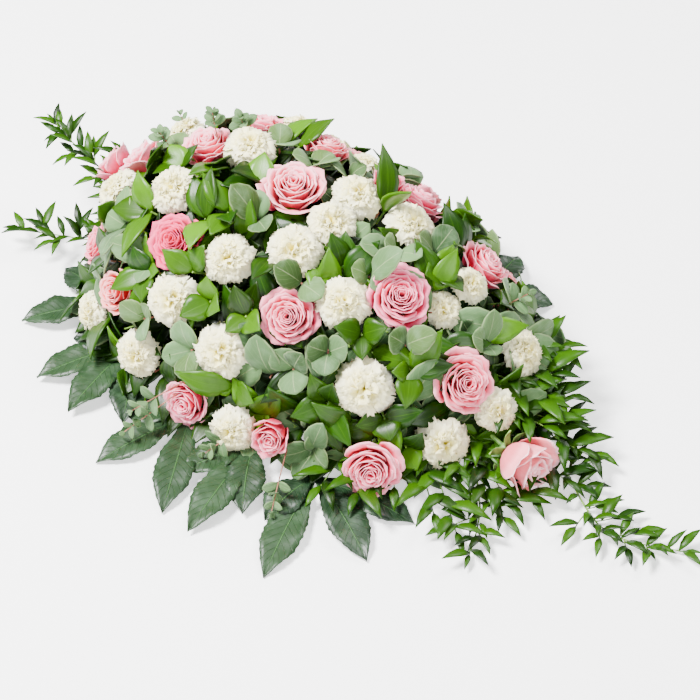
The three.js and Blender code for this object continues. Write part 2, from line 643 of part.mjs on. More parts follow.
// A chain of shoots: one stem stands in the foam, and runners under the blooms join the rest to it
function shoots(name, list, leaf, depth, seed) {
  const plant = new Plant(name);
  const forks = [];
  const ends = [];
  const growOn = (faces, end, lifts, place, share) => {
    const tipAt = (lift) => onMound(place, lift);
    const upAt = (tip) => moundNormal(tip).addScaledVector(moundNormal(end), 0.6).normalize();
    growLeaf(plant, faces, { ...leaf, width: leaf.width * share }, lifts, tipAt, upAt);
  };
  list.forEach(({ at, tips, from }, n) => {
    const end = onMound(vec(at), -SHOOT_DEPTH);
    const foot = footOf(end);
    const axis = end.clone().sub(foot).normalize();
    const fork = forkOn(foot, end, depth);
    const past = fork.clone().addScaledVector(axis, NODE_LENGTH);
    let stretch;
    if (n === 0) {
      stretch = growTwig(plant, plant.start(foot, axis, STEM.twig), foot, fork, past, STEM.twig, true);
    } else {
      const before = forks[from ?? n - 1];
      const choices = plant.facesToward(before.faces, fork);
      stretch = firstGrown(choices, (face) => growTwig(plant, face, before.past, fork, past, STEM.twig));
    }
    forks.push({ faces: stretch.stretches.at(-1), past });
    const neck = end.clone().addScaledVector(axis, -NODE_LENGTH);
    const shoot = growTwig(plant, stretch.open, past, neck, end, STEM.twig);
    if (!shoot) throw new Error(`${name}: no room for shoot ${n}`);
    const faces = [...shoot.stretches.at(-1), plant.close(shoot.open)];
    tips.forEach((tip, k) => {
      growOn(faces, end, LIFTS, vec(tip), 0.9 + 0.25 * draw(seed + 10 * n + k));
    });
    ends.push({ n, faces, end });
  });
  const addSpare = () => ends.forEach(({ n, faces, end }) => {
    spareTips(end, seed + 10 * n).forEach((tip, k) => {
      const share = 0.85 + 0.2 * draw(seed + 10 * n + k + 5);
      if (tip.z > SPARE_LOWEST) growOn(faces, end, SPARE_LIFTS, tip, share);
    });
  });
  const end = onMound(vec(list[0].at), -SHOOT_DEPTH);
  const foot = footOf(end);
  return { plant, addSpare, roots: [{ foot, neck: forkOn(foot, end, depth), stemRadius: STEM.twig }] };
}

// The point at a place along a route, counted in its pieces
function alongRoute(route, place) {
  const i = Math.min(Math.floor(place), route.length - 2);
  return between(route[i], route[i + 1], place - i);
}

// How much of its route a trailing stem keeps its full thickness, counted in the route's pieces
const THICK_PLACES = 3;

// Trailing stems: the later ones leave the first, and each twig ends in a leaf with two more beside it
function trails(name, list, seed) {
  const plant = new Plant(name);
  let firstNodes = [];
  list.forEach(({ stem, from, twigs }, n) => {
    const route = stem.map(vec);
    const places = [...route.keys()].slice(1).map((i) => ({ place: i }));
    const step = (place) => {
      const i = Math.floor(place);
      return NODE_LENGTH / 2 / route[i].distanceTo(route[i + 1]);
    };
    const branches = twigs.map(([place, to]) => ({ place, to }));
    if (n === 0) list.slice(1).forEach((later) => branches.push({ place: later.from, later: true }));
    for (const branch of branches) {
      const half = step(branch.place);
      places.push({ place: branch.place - half }, { place: branch.place + half, branch });
    }
    places.sort((p, q) => p.place - q.place);
    const radiusAt = (place) => (place < THICK_PLACES ? STEM.petiole : STEM.twig);
    const way = places.map(({ place }) => [alongRoute(route, place), radiusAt(place)]);
    let open;
    if (n === 0) open = plant.start(route[0], route[1].clone().sub(route[0]).normalize(), STEM.petiole);
    else {
      [open] = plant.facesToward(firstNodes[n - 1], route[1]);
    }
    const rings = plant.rings(plant.corners(open), way);
    const solid = skinSolid(rings);
    if (!plant.hasRoom(solid, n === 0)) throw new Error(`${name}: no room for stem ${n}`);
    plant.remember(solid);
    const nodes = [];
    for (let i = 1; i < rings.length; i++) {
      const stretch = plant.skin(open, [rings[i]]);
      if (!stretch) throw new Error(`${name}: stem ${n} crosses itself at ring ${i}`);
      open = stretch.open;
      const { branch } = places[i - 1];
      if (branch?.later) firstNodes.push(stretch.stretches[0]);
      else if (branch) nodes.push([stretch.stretches[0], branch.to]);
    }
    nodes.push([[plant.close(open)], route.at(-1).clone().lerp(route.at(-2), -0.7)]);
    nodes.forEach(([faces, to], k) => {
      trailTwig(plant, faces, to.isVector3 ? to : vec(to), seed + 40 * n + 3 * k);
    });
  });
  const route = list[0].stem.map(vec);
  return { plant, roots: [{ foot: route[0], neck: route[1], stemRadius: STEM.petiole }] };
}

// Side leaves of a trailing twig: each one's turn from the twig's heading
const SIDE_TURNS = [0.8, -0.75];
// The leaf at a twig's end takes this share of the twig, within these lengths
const TWIG_LEAF = { share: 0.45, least: 26, most: 40 };

function trailTwig(plant, faces, end, seed) {
  const tipAt = (tip) => (lift) => new THREE.Vector3(tip.x, tip.y, Math.max(1, tip.z + lift));
  for (const lift of TIP_LIFTS) {
    for (const face of plant.facesToward(faces, end)) {
      const corners = plant.corners(face);
      const start = middleOf(corners);
      const heading = end.clone().sub(start);
      const reach = heading.length();
      heading.normalize();
      const leafLength = THREE.MathUtils.clamp(reach * TWIG_LEAF.share, TWIG_LEAF.least, TWIG_LEAF.most);
      const base = between(start, end, Math.max(0.25, 1 - leafLength / reach));
      const node = base.clone().addScaledVector(heading, -NODE_LENGTH);
      if (node.clone().sub(start).dot(heading) < 2) node.copy(between(start, base, 0.4));
      const tip = tipAt(end)(lift);
      const rings = plant.rings(corners, [[node, STEM.fine], [base, STEM.fine]]).slice(1);
      rings.push(...TRAIL_LEAF.rows.map((row) => leafSection(base, tip, FLAT_UP, TRAIL_LEAF, row)), [tip]);
      const solid = skinSolid([corners, ...rings]);
      const grown = plant.hasRoom(solid) && plant.skin(face, rings);
      if (!grown) continue;
      plant.remember(solid);
      SIDE_TURNS.forEach((turn, k) => {
        const way = heading.clone().applyAxisAngle(FLAT_UP, turn + 0.4 * (draw(seed + k) - 0.5));
        const side = base.clone().addScaledVector(way, leafLength * (0.8 + 0.2 * draw(seed + k + 500)));
        growLeaf(plant, grown.stretches[1], TRAIL_LEAF, TIP_LIFTS, tipAt(side), () => FLAT_UP);
      });
      return;
    }
  }
  throw new Error(`${plant.name}: no room for the twig to ${end.toArray()}`);
}

// Rows of an aralia lobe from its notch to its tip: [share of the way, half width in mm]
const LOBE_ROWS = [[0.52, 19], [0.62, 17], [0.72, 17], [0.86, 9.5]];
const ARALIA_THICK = 1.4;
// How much of the angle to the next lobe a lobe may take up
const SECTOR_SHARE = 0.46;
const TRAY_EDGE = FOAM.width / 2 + TRAY.wall + TRAY.lip;
// How far above the leaf's level its hub, ribs, edges, notches and heel lie, and how they arch and droop
const HUB_RISE = 2;
const RIB = { first: 0.36, rise: 2.2, arch: 2.5, droop: 1.8 };
const EDGE = { rise: 1.1, arch: 2, droop: 1 };
const NOTCH = { rise: 1.8, outerTurn: 0.5, outerShare: 0.3, deepest: 0.2, shallowest: 0.42 };
const HEEL = { rise: 1.6, reach: 14 };
// Where a leaf's stalk stands in the foam, and how it clears the tray's lip
const STALK_FOOT = { share: 0.6, back: 150, front: 140, y: 36, z: 36 };
const LIP_ROOM = { out: 5, up: 1.5 };

// An aralia leaf: one thin sheet of lobes that lies on the table, and the stalk up into the foam
function araliaAt({ hub, tips, level }, name) {
  const centre = new THREE.Vector3(hub[0], hub[1], level + HUB_RISE);
  const heading = (tip) => Math.atan2(tip[1] - hub[1], tip[0] - hub[0]);
  const sumOf = (part) => tips.reduce((sum, tip) => sum + part(heading(tip)), 0);
  const middle = Math.atan2(sumOf(Math.sin), sumOf(Math.cos));
  const turnOf = (tip) => Math.atan2(Math.sin(heading(tip) - middle), Math.cos(heading(tip) - middle));
  const lobes = tips.map((tip) => ({
    turn: turnOf(tip), length: Math.hypot(tip[0] - hub[0], tip[1] - hub[1]),
  })).sort((p, q) => p.turn - q.turn);
  const sheet = lobedSheet(centre, lobes, middle, level);
  const side = Math.sign(hub[1]);
  const along = HUB.x + STALK_FOOT.share * (hub[0] - HUB.x);
  const foot = new THREE.Vector3(
    THREE.MathUtils.clamp(along, FOAM.midX - STALK_FOOT.back, FOAM.midX + STALK_FOOT.front),
    side * STALK_FOOT.y, STALK_FOOT.z,
  );
  const outwards = TRAY_EDGE + LIP_ROOM.out - Math.abs(foot.y);
  const overLip = between(foot, centre, outwards / (Math.abs(centre.y) - Math.abs(foot.y)));
  overLip.z = TRAY.height + STEM.petiole + LIP_ROOM.up;
  const stalk = rod([foot, overLip, centre.clone().add(new THREE.Vector3(0, 0, 0.6))], STEM.petiole, 4);
  for (const solid of [sheet, stalk]) {
    if (!isClear(name, solid, true)) throw new Error(`${name} touches a neighbour`);
    note(name, solid);
  }
  return { parts: [sheet, stalk], roots: [{ foot, neck: overLip, stemRadius: STEM.petiole }] };
}

// Edge points are shared by the upper and the lower face, and ribs and hub are doubled
function lobedSheet(centre, lobes, middle, level) {
  const points = [];
  const add = (turn, reach, z) => {
    const angle = middle + turn;
    return points.push([centre.x + reach * Math.cos(angle), centre.y + reach * Math.sin(angle), z]) - 1;
  };
  const pair = (turn, reach, z) => [
    add(turn, reach, z + ARALIA_THICK / 2), add(turn, reach, Math.max(0.05, z - ARALIA_THICK / 2)),
  ];
  const hub = pair(0, 0, centre.z);
  const index = [];
  const face = (a, b, c) => {
    const pick = (p, k) => (Array.isArray(p) ? p[k] : p);
    index.push(pick(a, 0), pick(b, 0), pick(c, 0), pick(a, 1), pick(c, 1), pick(b, 1));
  };
  const notch = (i) => {
    const outer = ({ turn, length }, way) => add(
      turn + way * NOTCH.outerTurn, NOTCH.outerShare * length, level + NOTCH.rise,
    );
    if (i < 0) return outer(lobes[0], -1);
    if (i === lobes.length - 1) return outer(lobes[i], 1);
    const [p, q] = [lobes[i], lobes[i + 1]];
    const share = THREE.MathUtils.clamp(0.56 - 0.32 * (q.turn - p.turn), NOTCH.deepest, NOTCH.shallowest);
    return add((p.turn + q.turn) / 2, share * Math.min(p.length, q.length), level + NOTCH.rise);
  };
  const heel = add(Math.PI, HEEL.reach, level + HEEL.rise);
  let right = notch(-1);
  const first = right;
  lobes.forEach(({ turn, length }, i) => {
    const left = notch(i);
    const rise = (line, share) => line.rise + line.arch * Math.sin(Math.PI * share) - line.droop * share;
    const rib = (share) => pair(turn, share * length, level + rise(RIB, share));
    let [r, m, l] = [right, rib(RIB.first), left];
    face(hub, r, m);
    face(hub, m, l);
    const room = (other) => (other ? SECTOR_SHARE * Math.abs(other.turn - turn) : Math.PI / 2);
    for (const [share, half] of LOBE_ROWS) {
      const reach = share * length;
      const z = level + rise(EDGE, share);
      const edge = (way, other) => {
        const swing = Math.min(Math.atan2(half, reach), room(other));
        return add(turn + way * swing, reach / Math.cos(swing), z);
      };
      const next = [edge(-1, lobes[i - 1]), rib(share), edge(1, lobes[i + 1])];
      face(r, next[0], next[1]);
      face(r, next[1], m);
      face(m, next[1], l);
      face(l, next[1], next[2]);
      [r, m, l] = next;
    }
    const tip = add(turn, length, Math.max(0.6, level - 1));
    face(r, tip, m);
    face(m, tip, l);
    right = left;
  });
  face(hub, right, heel);
  face(hub, heel, first);
  return solidFrom(points.flat(), index);
}

// Room round the foam block in the tray, under it, and round each stem that stands in it
const FOAM_ROOM = { side: 0.4, under: 0.3, stem: 0.4 };

// A rounded rectangle standing on z, for the tray
function roundedBlock(length, width, corner, low, high) {
  const shape = new THREE.Shape();
  const [x, y] = [length / 2, width / 2];
  shape.absarc(x - corner, y - corner, corner, 0, Math.PI / 2);
  shape.absarc(corner - x, y - corner, corner, Math.PI / 2, Math.PI);
  shape.absarc(corner - x, corner - y, corner, Math.PI, 1.5 * Math.PI);
  shape.absarc(x - corner, corner - y, corner, 1.5 * Math.PI, 2 * Math.PI);
  const rim = shape.getPoints(2).filter((p, i, all) => i === 0 || p.distanceTo(all[i - 1]) > 0.01);
  if (rim[0].distanceTo(rim.at(-1)) < 0.01) rim.pop();
  const ring = (z) => rim.map((p) => new THREE.Vector3(p.x + FOAM.midX, p.y, z));
  return loft([ring(low), ring(high)]);
}

function makeTray() {
  const inner = [FOAM.length + 2 * FOAM_ROOM.side, FOAM.width + 2 * FOAM_ROOM.side];
  const block = (grown, corner, low, high) => {
    const [length, width] = inner.map((side) => side + 2 * grown);
    return roundedBlock(length, width, corner, low, high);
  };
  const outer = block(TRAY.wall, TRAY.corner, 0, TRAY.height);
  const lip = block(
    TRAY.wall + TRAY.lip, TRAY.corner + TRAY.lip, TRAY.height - TRAY.lipThick, TRAY.height,
  );
  const hollow = block(0, TRAY.corner - TRAY.wall, TRAY.wall, 2 * TRAY.height);
  return outer.add(lip).subtract(hollow);
}

// The foam block, with a plain hole round every stem that stands in it
function foamBlock() {
  const corner = TRAY.corner - TRAY.wall;
  const body = roundedBlock(
    FOAM.length, FOAM.width, corner, TRAY.wall + FOAM_ROOM.under, FOAM.top - FOAM.chamfer,
  );
  const top = roundedBlock(
    FOAM.length - 2 * FOAM.chamfer, FOAM.width - 2 * FOAM.chamfer, corner - 4, TRAY.height, FOAM.top,
  );
  return body.add(top);
}

function drilledFoam(block, roots) {
  const holes = roots.map(({ foot, neck, stemRadius }) => {
    const along = neck.clone().sub(foot).normalize();
    const radius = (stemRadius + FOAM_ROOM.stem) * Math.SQRT2;
    const end = foot.clone().addScaledVector(along, radius - stemRadius - 0.5);
    return rod([end, neck], radius, 4);
  });
  return block.subtract(wasm.Manifold.union(holes));
}

const root = new THREE.Group();
root.position.set(-OUTLINE_MIDDLE.x, -OUTLINE_MIDDLE.y, 0);

function addNode(name, solid, colour, roughness) {
  const material = new THREE.MeshStandardMaterial({ color: colour, roughness, metalness: 0 });
  const mesh = new THREE.Mesh(geometryOf(solid), material);
  mesh.name = name;
  root.add(mesh);
}

const two = (n) => String(n + 1).padStart(2, "0");
const roots = [];

const tray = makeTray();
note("spray_tray", tray);
const foam = foamBlock();
note("foam_block", foam);

ROSES.forEach((entry, n) => {
  const made = roseAt(entry, n);
  note(`rose_${two(n)}`, made.head);
  roots.push(made);
  addNode(`rose_${two(n)}`, made.head, COLOURS.rose, 0.6);
});
CARNATIONS.forEach((entry, n) => {
  const made = carnationAt(entry, n);
  note(`carnation_${two(n)}`, made.head);
  roots.push(made);
  addNode(`carnation_${two(n)}`, made.head, COLOURS.carnation, 0.7);
});

// A thin twig between two stems under the blooms
function runner(name, a, b) {
  const middle = between(a, b, 0.5);
  const out = moundNormal(middle);
  const side = b.clone().sub(a).cross(out).normalize();
  for (const [sideways, outward] of BENDS) {
    const knee = middle.clone().addScaledVector(side, sideways).addScaledVector(out, outward);
    const solid = rod(sideways || outward ? [a, knee, b] : [a, b], STEM.runner, 3);
    if (!isClear(name, solid)) continue;
    note(name, solid);
    return solid;
  }
  throw new Error(`${name}: no room for a runner`);
}

// Blooms on one branching stem, for the side away from the eye
function branchingBlooms(name, list, make, colour, seed, depth) {
  const heads = list.map((entry, n) => make(entry, seed + n));
  heads.forEach(({ head }) => note(name, head));
  roots.push(...heads);
  return () => {
    const forks = heads.map(({ foot, neck }) => forkOn(foot, neck, depth));
    const runners = forks.slice(1).map((fork, n) => runner(name, forks[n], fork));
    const parts = [...heads.map(({ head }) => head), ...runners];
    addNode(name, wasm.Manifold.union(parts), colour, 0.65);
  };
}
const joinFarRoses = branchingBlooms("roses_far_side", FAR_ROSES, roseAt, COLOURS.rose, 40, 0.6);
const joinFarCarnations = branchingBlooms(
  "carnations_far_side", FAR_CARNATIONS, carnationAt, COLOURS.carnation, 50, 0.5,
);
joinFarRoses();
joinFarCarnations();

ARALIA.forEach((entry, n) => {
  const name = `aralia_leaf_${n + 1}`;
  const { parts, roots: made } = araliaAt(entry, name);
  roots.push(...made);
  addNode(name, wasm.Manifold.union(parts), COLOURS.aralia, 0.4);
});

// Down the show side of the tail, round it and back along the far side
const ruscusRound = [...RUSCUS_RIGHT, ...RUSCUS_FAR.toReversed()];
const eucalyptusRound = [...EUCALYPTUS_RIGHT, ...EUCALYPTUS_FAR.toReversed()];
const plants = [
  [trails("trailing_ruscus_right", TRAIL_RIGHT, 200), COLOURS.trail],
  [trails("trailing_ruscus_left", TRAIL_LEFT, 300), COLOURS.trail],
  [shoots("ruscus_left", RUSCUS_LEFT, RUSCUS_LEAF, 0.58, 400), COLOURS.ruscus],
  [shoots("ruscus_right", ruscusRound, RUSCUS_LEAF, 0.6, 600), COLOURS.ruscus],
  [shoots("eucalyptus_left", EUCALYPTUS_LEFT, EUCALYPTUS_LEAF, 0.5, 800), COLOURS.eucalyptus],
  [shoots("eucalyptus_right", eucalyptusRound, EUCALYPTUS_LEAF, 0.46, 900), COLOURS.eucalyptus],
];
plants.forEach(([{ addSpare }]) => addSpare?.());
plants.forEach(([{ plant, roots: made }, colour]) => {
  roots.push(...made);
  addNode(plant.name, plant.solid(), colour, 0.5);
});

addNode("foam_block", drilledFoam(foam, roots), COLOURS.foam, 0.95);
addNode("spray_tray", tray, COLOURS.tray, 0.45);

export default root;
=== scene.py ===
"""A casket spray: pink roses and cream carnations over ruscus, eucalyptus and aralia leaves."""
import math

import bmesh
import bpy
import numpy as np
from mathutils import Matrix, Vector
from mathutils.kdtree import KDTree


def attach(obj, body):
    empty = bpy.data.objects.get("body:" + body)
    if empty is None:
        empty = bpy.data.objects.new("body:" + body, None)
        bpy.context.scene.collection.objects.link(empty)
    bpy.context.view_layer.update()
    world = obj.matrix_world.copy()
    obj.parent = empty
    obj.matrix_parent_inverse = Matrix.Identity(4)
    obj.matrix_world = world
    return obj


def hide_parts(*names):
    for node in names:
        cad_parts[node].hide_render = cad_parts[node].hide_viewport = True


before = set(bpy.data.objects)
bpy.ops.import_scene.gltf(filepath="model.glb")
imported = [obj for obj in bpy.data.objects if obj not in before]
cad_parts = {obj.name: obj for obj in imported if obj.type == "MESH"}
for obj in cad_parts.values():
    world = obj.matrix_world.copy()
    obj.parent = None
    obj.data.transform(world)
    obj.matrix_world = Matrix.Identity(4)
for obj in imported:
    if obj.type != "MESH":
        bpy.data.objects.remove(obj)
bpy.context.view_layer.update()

# Layout points are in millimetres from the layout's origin, which the model moves by SHIFT
MM = 0.001
SHIFT = np.array((-3.5, 25.0, 0.0))
# How far above the table, in metres, whatever would reach below it is laid
TABLE_ROOM = 0.0003

# The mound that the blooms follow, broad at the head and drawn out at the tail, and the foam in it
MOUND = {"broad_half": 250, "tail_half": 325, "half_width": 210, "height": 220, "ridge_x": -80}
MOUND_POWER = {"broad": 3.2, "tail": 2.0}
FOAM = {"length": 330, "width": 120, "top": 106, "mid_x": -50}
# How clear of the foam a fork stays, and the step by which it is moved out along its stem
FORK_ROOM = 5
FORK_STEP = 0.03
# The point in the foam that every stem leans to, and the shares of a bloom's way from it that its foot has
HUB = np.array((-60.0, 0.0, 53.0))
FOOT_SHARE = np.array((0.42, 0.22, 0.22))
# The side that the spray is seen from, how much a bloom leans to it, and how far back the lean dies out
SHOW_SIDE = np.array((0.42, -0.57, 0.71))
SHOW_LEAN = 0.3
SHOW_REACH = 120
# The rose at the tail's end, counted from 0, which faces along the spray
TAIL_ROSE = 13

# Every bloom's centre in the layout and its diameter, and a further turn in radians on some
ROSES = [
    (-344, 0, 104, 50), (-292, -2, 140, 56), (-212, 18, 185, 65), (-178, 77, 185, 50),
    (-75, -5, 210, 76, 3.4), (-102, 95, 186, 54), (-95, 130, 145, 40), (-8, 77, 188, 44),
    (8, 117, 145, 64), (116, 91, 128, 64), (97, -46, 175, 72), (5, -123, 152, 68),
    (189, -54, 105, 72), (274, -58, 34, 64), (147, -169, 40, 72), (33, -192, 44, 46),
    (-76, -203, 38, 58), (-209, -158, 97, 52), (-288, -98, 82, 52), (-158, -113, 167, 70),
]
CARNATIONS = [
    (-287, -58, 136, 56), (-197, -64, 188, 56), (-268, 43, 163, 48), (-153, 20, 213, 58),
    (-168, 128, 160, 48), (-66, 118, 163, 40), (-16, 34, 203, 56), (-12, -20, 203, 54),
    (47, 44, 186, 56), (-25, -71, 193, 60), (-86, -108, 176, 56), (-128, -156, 129, 58),
    (-248, -160, 44, 48), (-155, -190, 55, 54), (-50, -171, 107, 60), (-13, -204, 35, 52),
    (50, -85, 169, 57), (107, -125, 106, 62), (125, -6, 140, 44), (133, 35, 150, 42),
    (189, -94, 44, 56), (219, -36, 66, 48), (202, 41, 83, 54),
]
FAR_ROSES = [(-235, 135, 112, 60), (-30, 180, 83, 62), (110, 150, 54, 60)]
FAR_CARNATIONS = [
    (-290, 90, 77, 54), (-215, 178, 35, 52), (-150, 165, 113, 56), (-95, 192, 45, 54), (42, 172, 68, 54),
]

# Leafy shoots: the point of the mound that each one reaches, its leaves' tips, and its earlier fork
RUSCUS_LEFT = [
    ((-120, -70, 208), [(-103, -46, 222), (-112, -108, 198), (-88, -92, 206)]),
    ((-115, -20, 220), [(-128, 14, 226), (-138, -54, 216), (-158, -34, 220)]),
    ((-140, -88, 200), [(-176, -54, 215), (-122, -128, 182)]),
    ((-215, -95, 175), [(-238, -68, 190), (-262, -98, 150), (-205, -150, 145)]),
    ((-225, -30, 200), [(-246, -12, 196), (-214, -2, 212), (-240, -56, 190)]),
    ((-318, -48, 124), [(-342, -64, 112), (-322, -18, 138)]),
    ((-255, -130, 115), [(-272, -112, 128), (-248, -148, 92)]),
    ((-178, -150, 140), [(-205, -172, 112), (-160, -178, 122), (-196, -140, 160)]),
    ((-120, -140, 165), [(-158, -138, 175), (-112, -118, 192)]),
]
RUSCUS_RIGHT = [
    ((30, -58, 196), [(14, -30, 216), (4, -46, 208), (30, 6, 214)]),
    ((18, 44, 205), [(-26, 80, 214), (44, 28, 206), (30, 84, 194)]),
    ((112, 18, 172), [(104, -12, 184), (142, 8, 166), (100, 50, 182)]),
    ((85, -100, 155), [(108, -84, 166), (60, -116, 164)]),
    ((145, -90, 125), [(152, -44, 158), (178, -58, 130), (158, -122, 100)]),
    ((140, -135, 80), [(176, -112, 100), (156, -146, 66), (118, -160, 78)]),
    ((168, -132, 45), [(190, -142, 28), (182, -122, 76)]),
    ((80, -160, 90), [(58, -158, 126), (84, -148, 122), (52, -188, 78), (96, -180, 54)]),
    ((-38, -150, 150), [(-58, -134, 172), (-8, -156, 150), (-34, -176, 138)]),
    ((-85, -155, 150), [(-92, -138, 170), (-60, -162, 155), (-104, -174, 130)]),
    ((-25, -195, 78), [(-84, -206, 86), (12, -204, 84)]),
]
RUSCUS_FAR = [
    ((-128, 80, 202), [(-112, 128, 216), (-140, 110, 196)]),
    ((-265, 110, 112), [(-286, 118, 118), (-262, 86, 146), (-262, 142, 82)]),
    ((-190, 152, 122), [(-206, 132, 150), (-188, 176, 96), (-226, 168, 100)]),
    ((-120, 190, 85), [(-122, 176, 122), (-146, 204, 62), (-96, 210, 80)]),
    ((-60, 165, 125), [(-86, 158, 146), (-34, 152, 148), (-58, 194, 98)]),
    ((20, 190, 50), [(8, 202, 82), (50, 208, 34), (-14, 214, 40)]),
    ((72, 135, 115), [(56, 108, 152), (98, 132, 112), (74, 168, 84)]),
    ((150, 122, 70), [(152, 98, 106), (184, 132, 48), (130, 152, 84)], 2),
]
EUCALYPTUS_LEFT = [
    ((-85, -62, 210), [(-96, -38, 222), (-112, -60, 218), (-58, -78, 212), (-82, -92, 206)]),
    ((-255, 8, 178), [(-278, 22, 178), (-258, -24, 186), (-238, 40, 188)]),
    ((-238, 72, 170), [(-258, 74, 176), (-212, 58, 194), (-230, 102, 160)]),
    ((-245, -108, 145), [(-268, -104, 146), (-226, -122, 162)]),
    ((-160, -185, 100), [(-186, -184, 112), (-138, -196, 92), (-168, -178, 132)]),
    ((-88, -188, 95), [(-102, -182, 132), (-72, -204, 76), (-112, -200, 84)]),
]
EUCALYPTUS_RIGHT = [
    ((65, 0, 195), [(52, -12, 208), (92, 4, 196), (66, 28, 204)]),
    ((2, -98, 186), [(-24, -104, 192), (36, -104, 184), (10, -72, 202)]),
    ((60, -48, 192), [(44, -62, 202), (78, -26, 196), (48, -24, 208)]),
    ((90, 38, 182), [(72, 26, 200), (84, 76, 180)]),
    ((130, -78, 148), [(112, -88, 160), (148, -60, 156), (152, -98, 138)]),
    ((62, -132, 138), [(44, -142, 148), (82, -122, 154), (72, -150, 124)]),
    ((35, -162, 118), [(14, -164, 140), (44, -150, 142), (52, -178, 104), (18, -184, 98)]),
    ((76, -188, 30), [(50, -210, 26), (106, -204, 24)]),
    ((188, 0, 122), [(176, -22, 144), (172, 20, 146), (208, -8, 124), (222, -18, 102), (218, 14, 106)], 4),
]
EUCALYPTUS_FAR = [
    ((-85, 50, 212), [(-102, 30, 226), (-54, 46, 220), (-80, 78, 212)]),
    ((-45, 62, 208), [(-62, 46, 220), (-34, 78, 212), (-14, 62, 214)]),
    ((-142, 60, 210), [(-158, 84, 210), (-112, 44, 220)]),
    ((-240, 165, 65), [(-262, 162, 82), (-222, 186, 66), (-252, 176, 44)]),
    ((-160, 196, 55), [(-176, 192, 84), (-136, 212, 44), (-176, 208, 34)]),
    ((-30, 140, 150), [(-52, 132, 168), (-6, 146, 156)]),
    ((-40, 204, 30), [(-64, 214, 40), (-22, 222, 22), (-44, 208, 64)]),
    ((72, 172, 40), [(58, 176, 76), (94, 188, 28), (52, 196, 44)]),
    ((160, 80, 100), [(146, 66, 132), (182, 78, 96), (150, 104, 108)]),
]

# Aralia leaves: the hub, each lobe's tip, and the leaf's height
ARALIA = [
    ((-262, -112), [(-350, -92), (-332, -188), (-300, -60)], 3),
    ((-200, -146), [(-256, -248), (-192, -268), (-132, -246), (-262, -178)], 7),
    ((-82, -190), [(-122, -304), (-18, -318), (-150, -228)], 1),
    ((2, -184), [(22, -324), (54, -272), (-36, -262)], 6),
    ((84, -184), [(122, -324), (196, -244), (206, -172), (76, -262)], 1),
    ((78, 160), [(146, 194), (70, 238), (-18, 262), (150, 142)], 3),
    ((-190, 150), [(-250, 252), (-170, 274), (-300, 190), (-110, 254)], 3),
]

# Trailing ruscus: each stem's route, where it leaves the first one, and the twigs that leave it
TRAIL_RIGHT = [
    ([(70, 8, 31), (134, 10, 34), (204, 14, 24), (256, 8, 12), (300, -20, 7), (340, -50, 6), (375, -68, 6),
      (415, -62, 6), (450, -44, 5)],
     [(2.1, (208, 118, 22)), (2.5, (238, 96, 48)), (3.0, (270, 66, 26)), (3.4, (300, 40, 26)),
      (3.9, (332, 12, 22)), (4.4, (352, -14, 12)), (5.1, (372, -20, 10)), (5.6, (398, -20, 9)),
      (6.3, (428, -28, 8)), (5.2, (350, -112, 7)), (5.9, (388, -104, 7)), (6.6, (424, -92, 6)),
      (7.2, (440, -70, 6))]),
    ([(162, 12, 30), (176, -22, 26), (200, -52, 16), (232, -92, 9), (262, -128, 7), (276, -168, 6)],
     [(2.3, (252, -68, 8)), (2.8, (296, -104, 10)), (3.2, (310, -126, 8)), (3.5, (222, -146, 10)),
      (3.9, (228, -184, 8)), (4.4, (298, -166, 8))]),
]
TRAIL_LEFT = [
    ([(-170, 8, 36), (-226, 10, 38), (-300, 12, 46), (-362, 8, 74), (-415, 10, 92), (-446, 18, 100)],
     [(3.0, (-392, -22, 62)), (3.4, (-404, 34, 96)), (3.8, (-430, -14, 70)), (4.2, (-438, 36, 112)),
      (4.7, (-452, -2, 88))]),
    ([(-252, 11, 41), (-270, -22, 38), (-300, -46, 34), (-360, -66, 30), (-410, -82, 24)],
     [(2.4, (-342, -28, 62)), (2.8, (-378, -34, 52)), (3.2, (-388, -102, 20)), (3.6, (-424, -56, 36))]),
]

# How near a corner of the solids lies to the place of a leaf's tip, or to the ring of a twig's knee
FIND_WITHIN = 0.05
RING_ROOM = 0.03
# Radii of the stems, of a twig at its end, and the share of its radius that a bloom's stem has at its neck
STEM = {"rose": 3.0, "carnation": 2.2, "twig": 1.5, "runner": 0.9}
TWIG_END = 1.2
NECK_SHARE = 0.9
# Radii at the foot and at the end of what stands only here, and of the aralia stalks
TAPER = {"trail": (1.9, 0.8), "branch": (1.4, 0.8), "trail_twig": (1.0, 0.7), "filling": (1.3, 1.0),
         "tip": (0.8, 0.5), "stalk": (2.0, 1.8)}
# A full turn in radians, near enough for a phase drawn at random
FULL_TURN = 6.28
# How far a twig runs straight on at its fork, and how deep under the mound's face it ends
NODE_LENGTH = 5
SHOOT_DEPTH = 16
# How far a tip may have been lifted in the solids, in the order of trial: a shoot's placed leaves, its
# spare leaves, and the last leaf of a trailing twig
LIFTS = (2, 8, 14, -4, 20, 27, 34, 42)
SPARE_LIFTS = (6, 0, 12, -8)
TIP_LIFTS = (0, 5, 10, -4, 16, 24)
# The spare leaves round each shoot's end, and how far they reach
SPARE_LEAVES = 4
SPARE_REACH = 46
# A spare leaf that would cover a bloom has these shares of its length and width
TUCKED = 0.5
TUCKED_WIDTH = 0.8
# How far sideways and outward a twig's knee may have been bent in the solids, in the order of trial
BENDS = [
    (12, 0), (-12, 0), (22, 0), (-22, 0), (0, 14), (0, -14), (12, 14), (-12, 14), (12, -14), (-12, -14),
    (24, 14), (-24, 14), (24, -14), (-24, -14), (34, 0), (-34, 0), (34, 16), (-34, 16), (0, 28), (0, -28),
    (14, 28), (-14, 28), (26, 28), (-26, 28), (0, 42), (18, 42), (-18, 42), (34, 42), (-34, 42),
]
# A point on the mound is found within this many millimetres, by halving so many times
SEARCH_REACH = 90.0
SEARCH_STEPS = 40


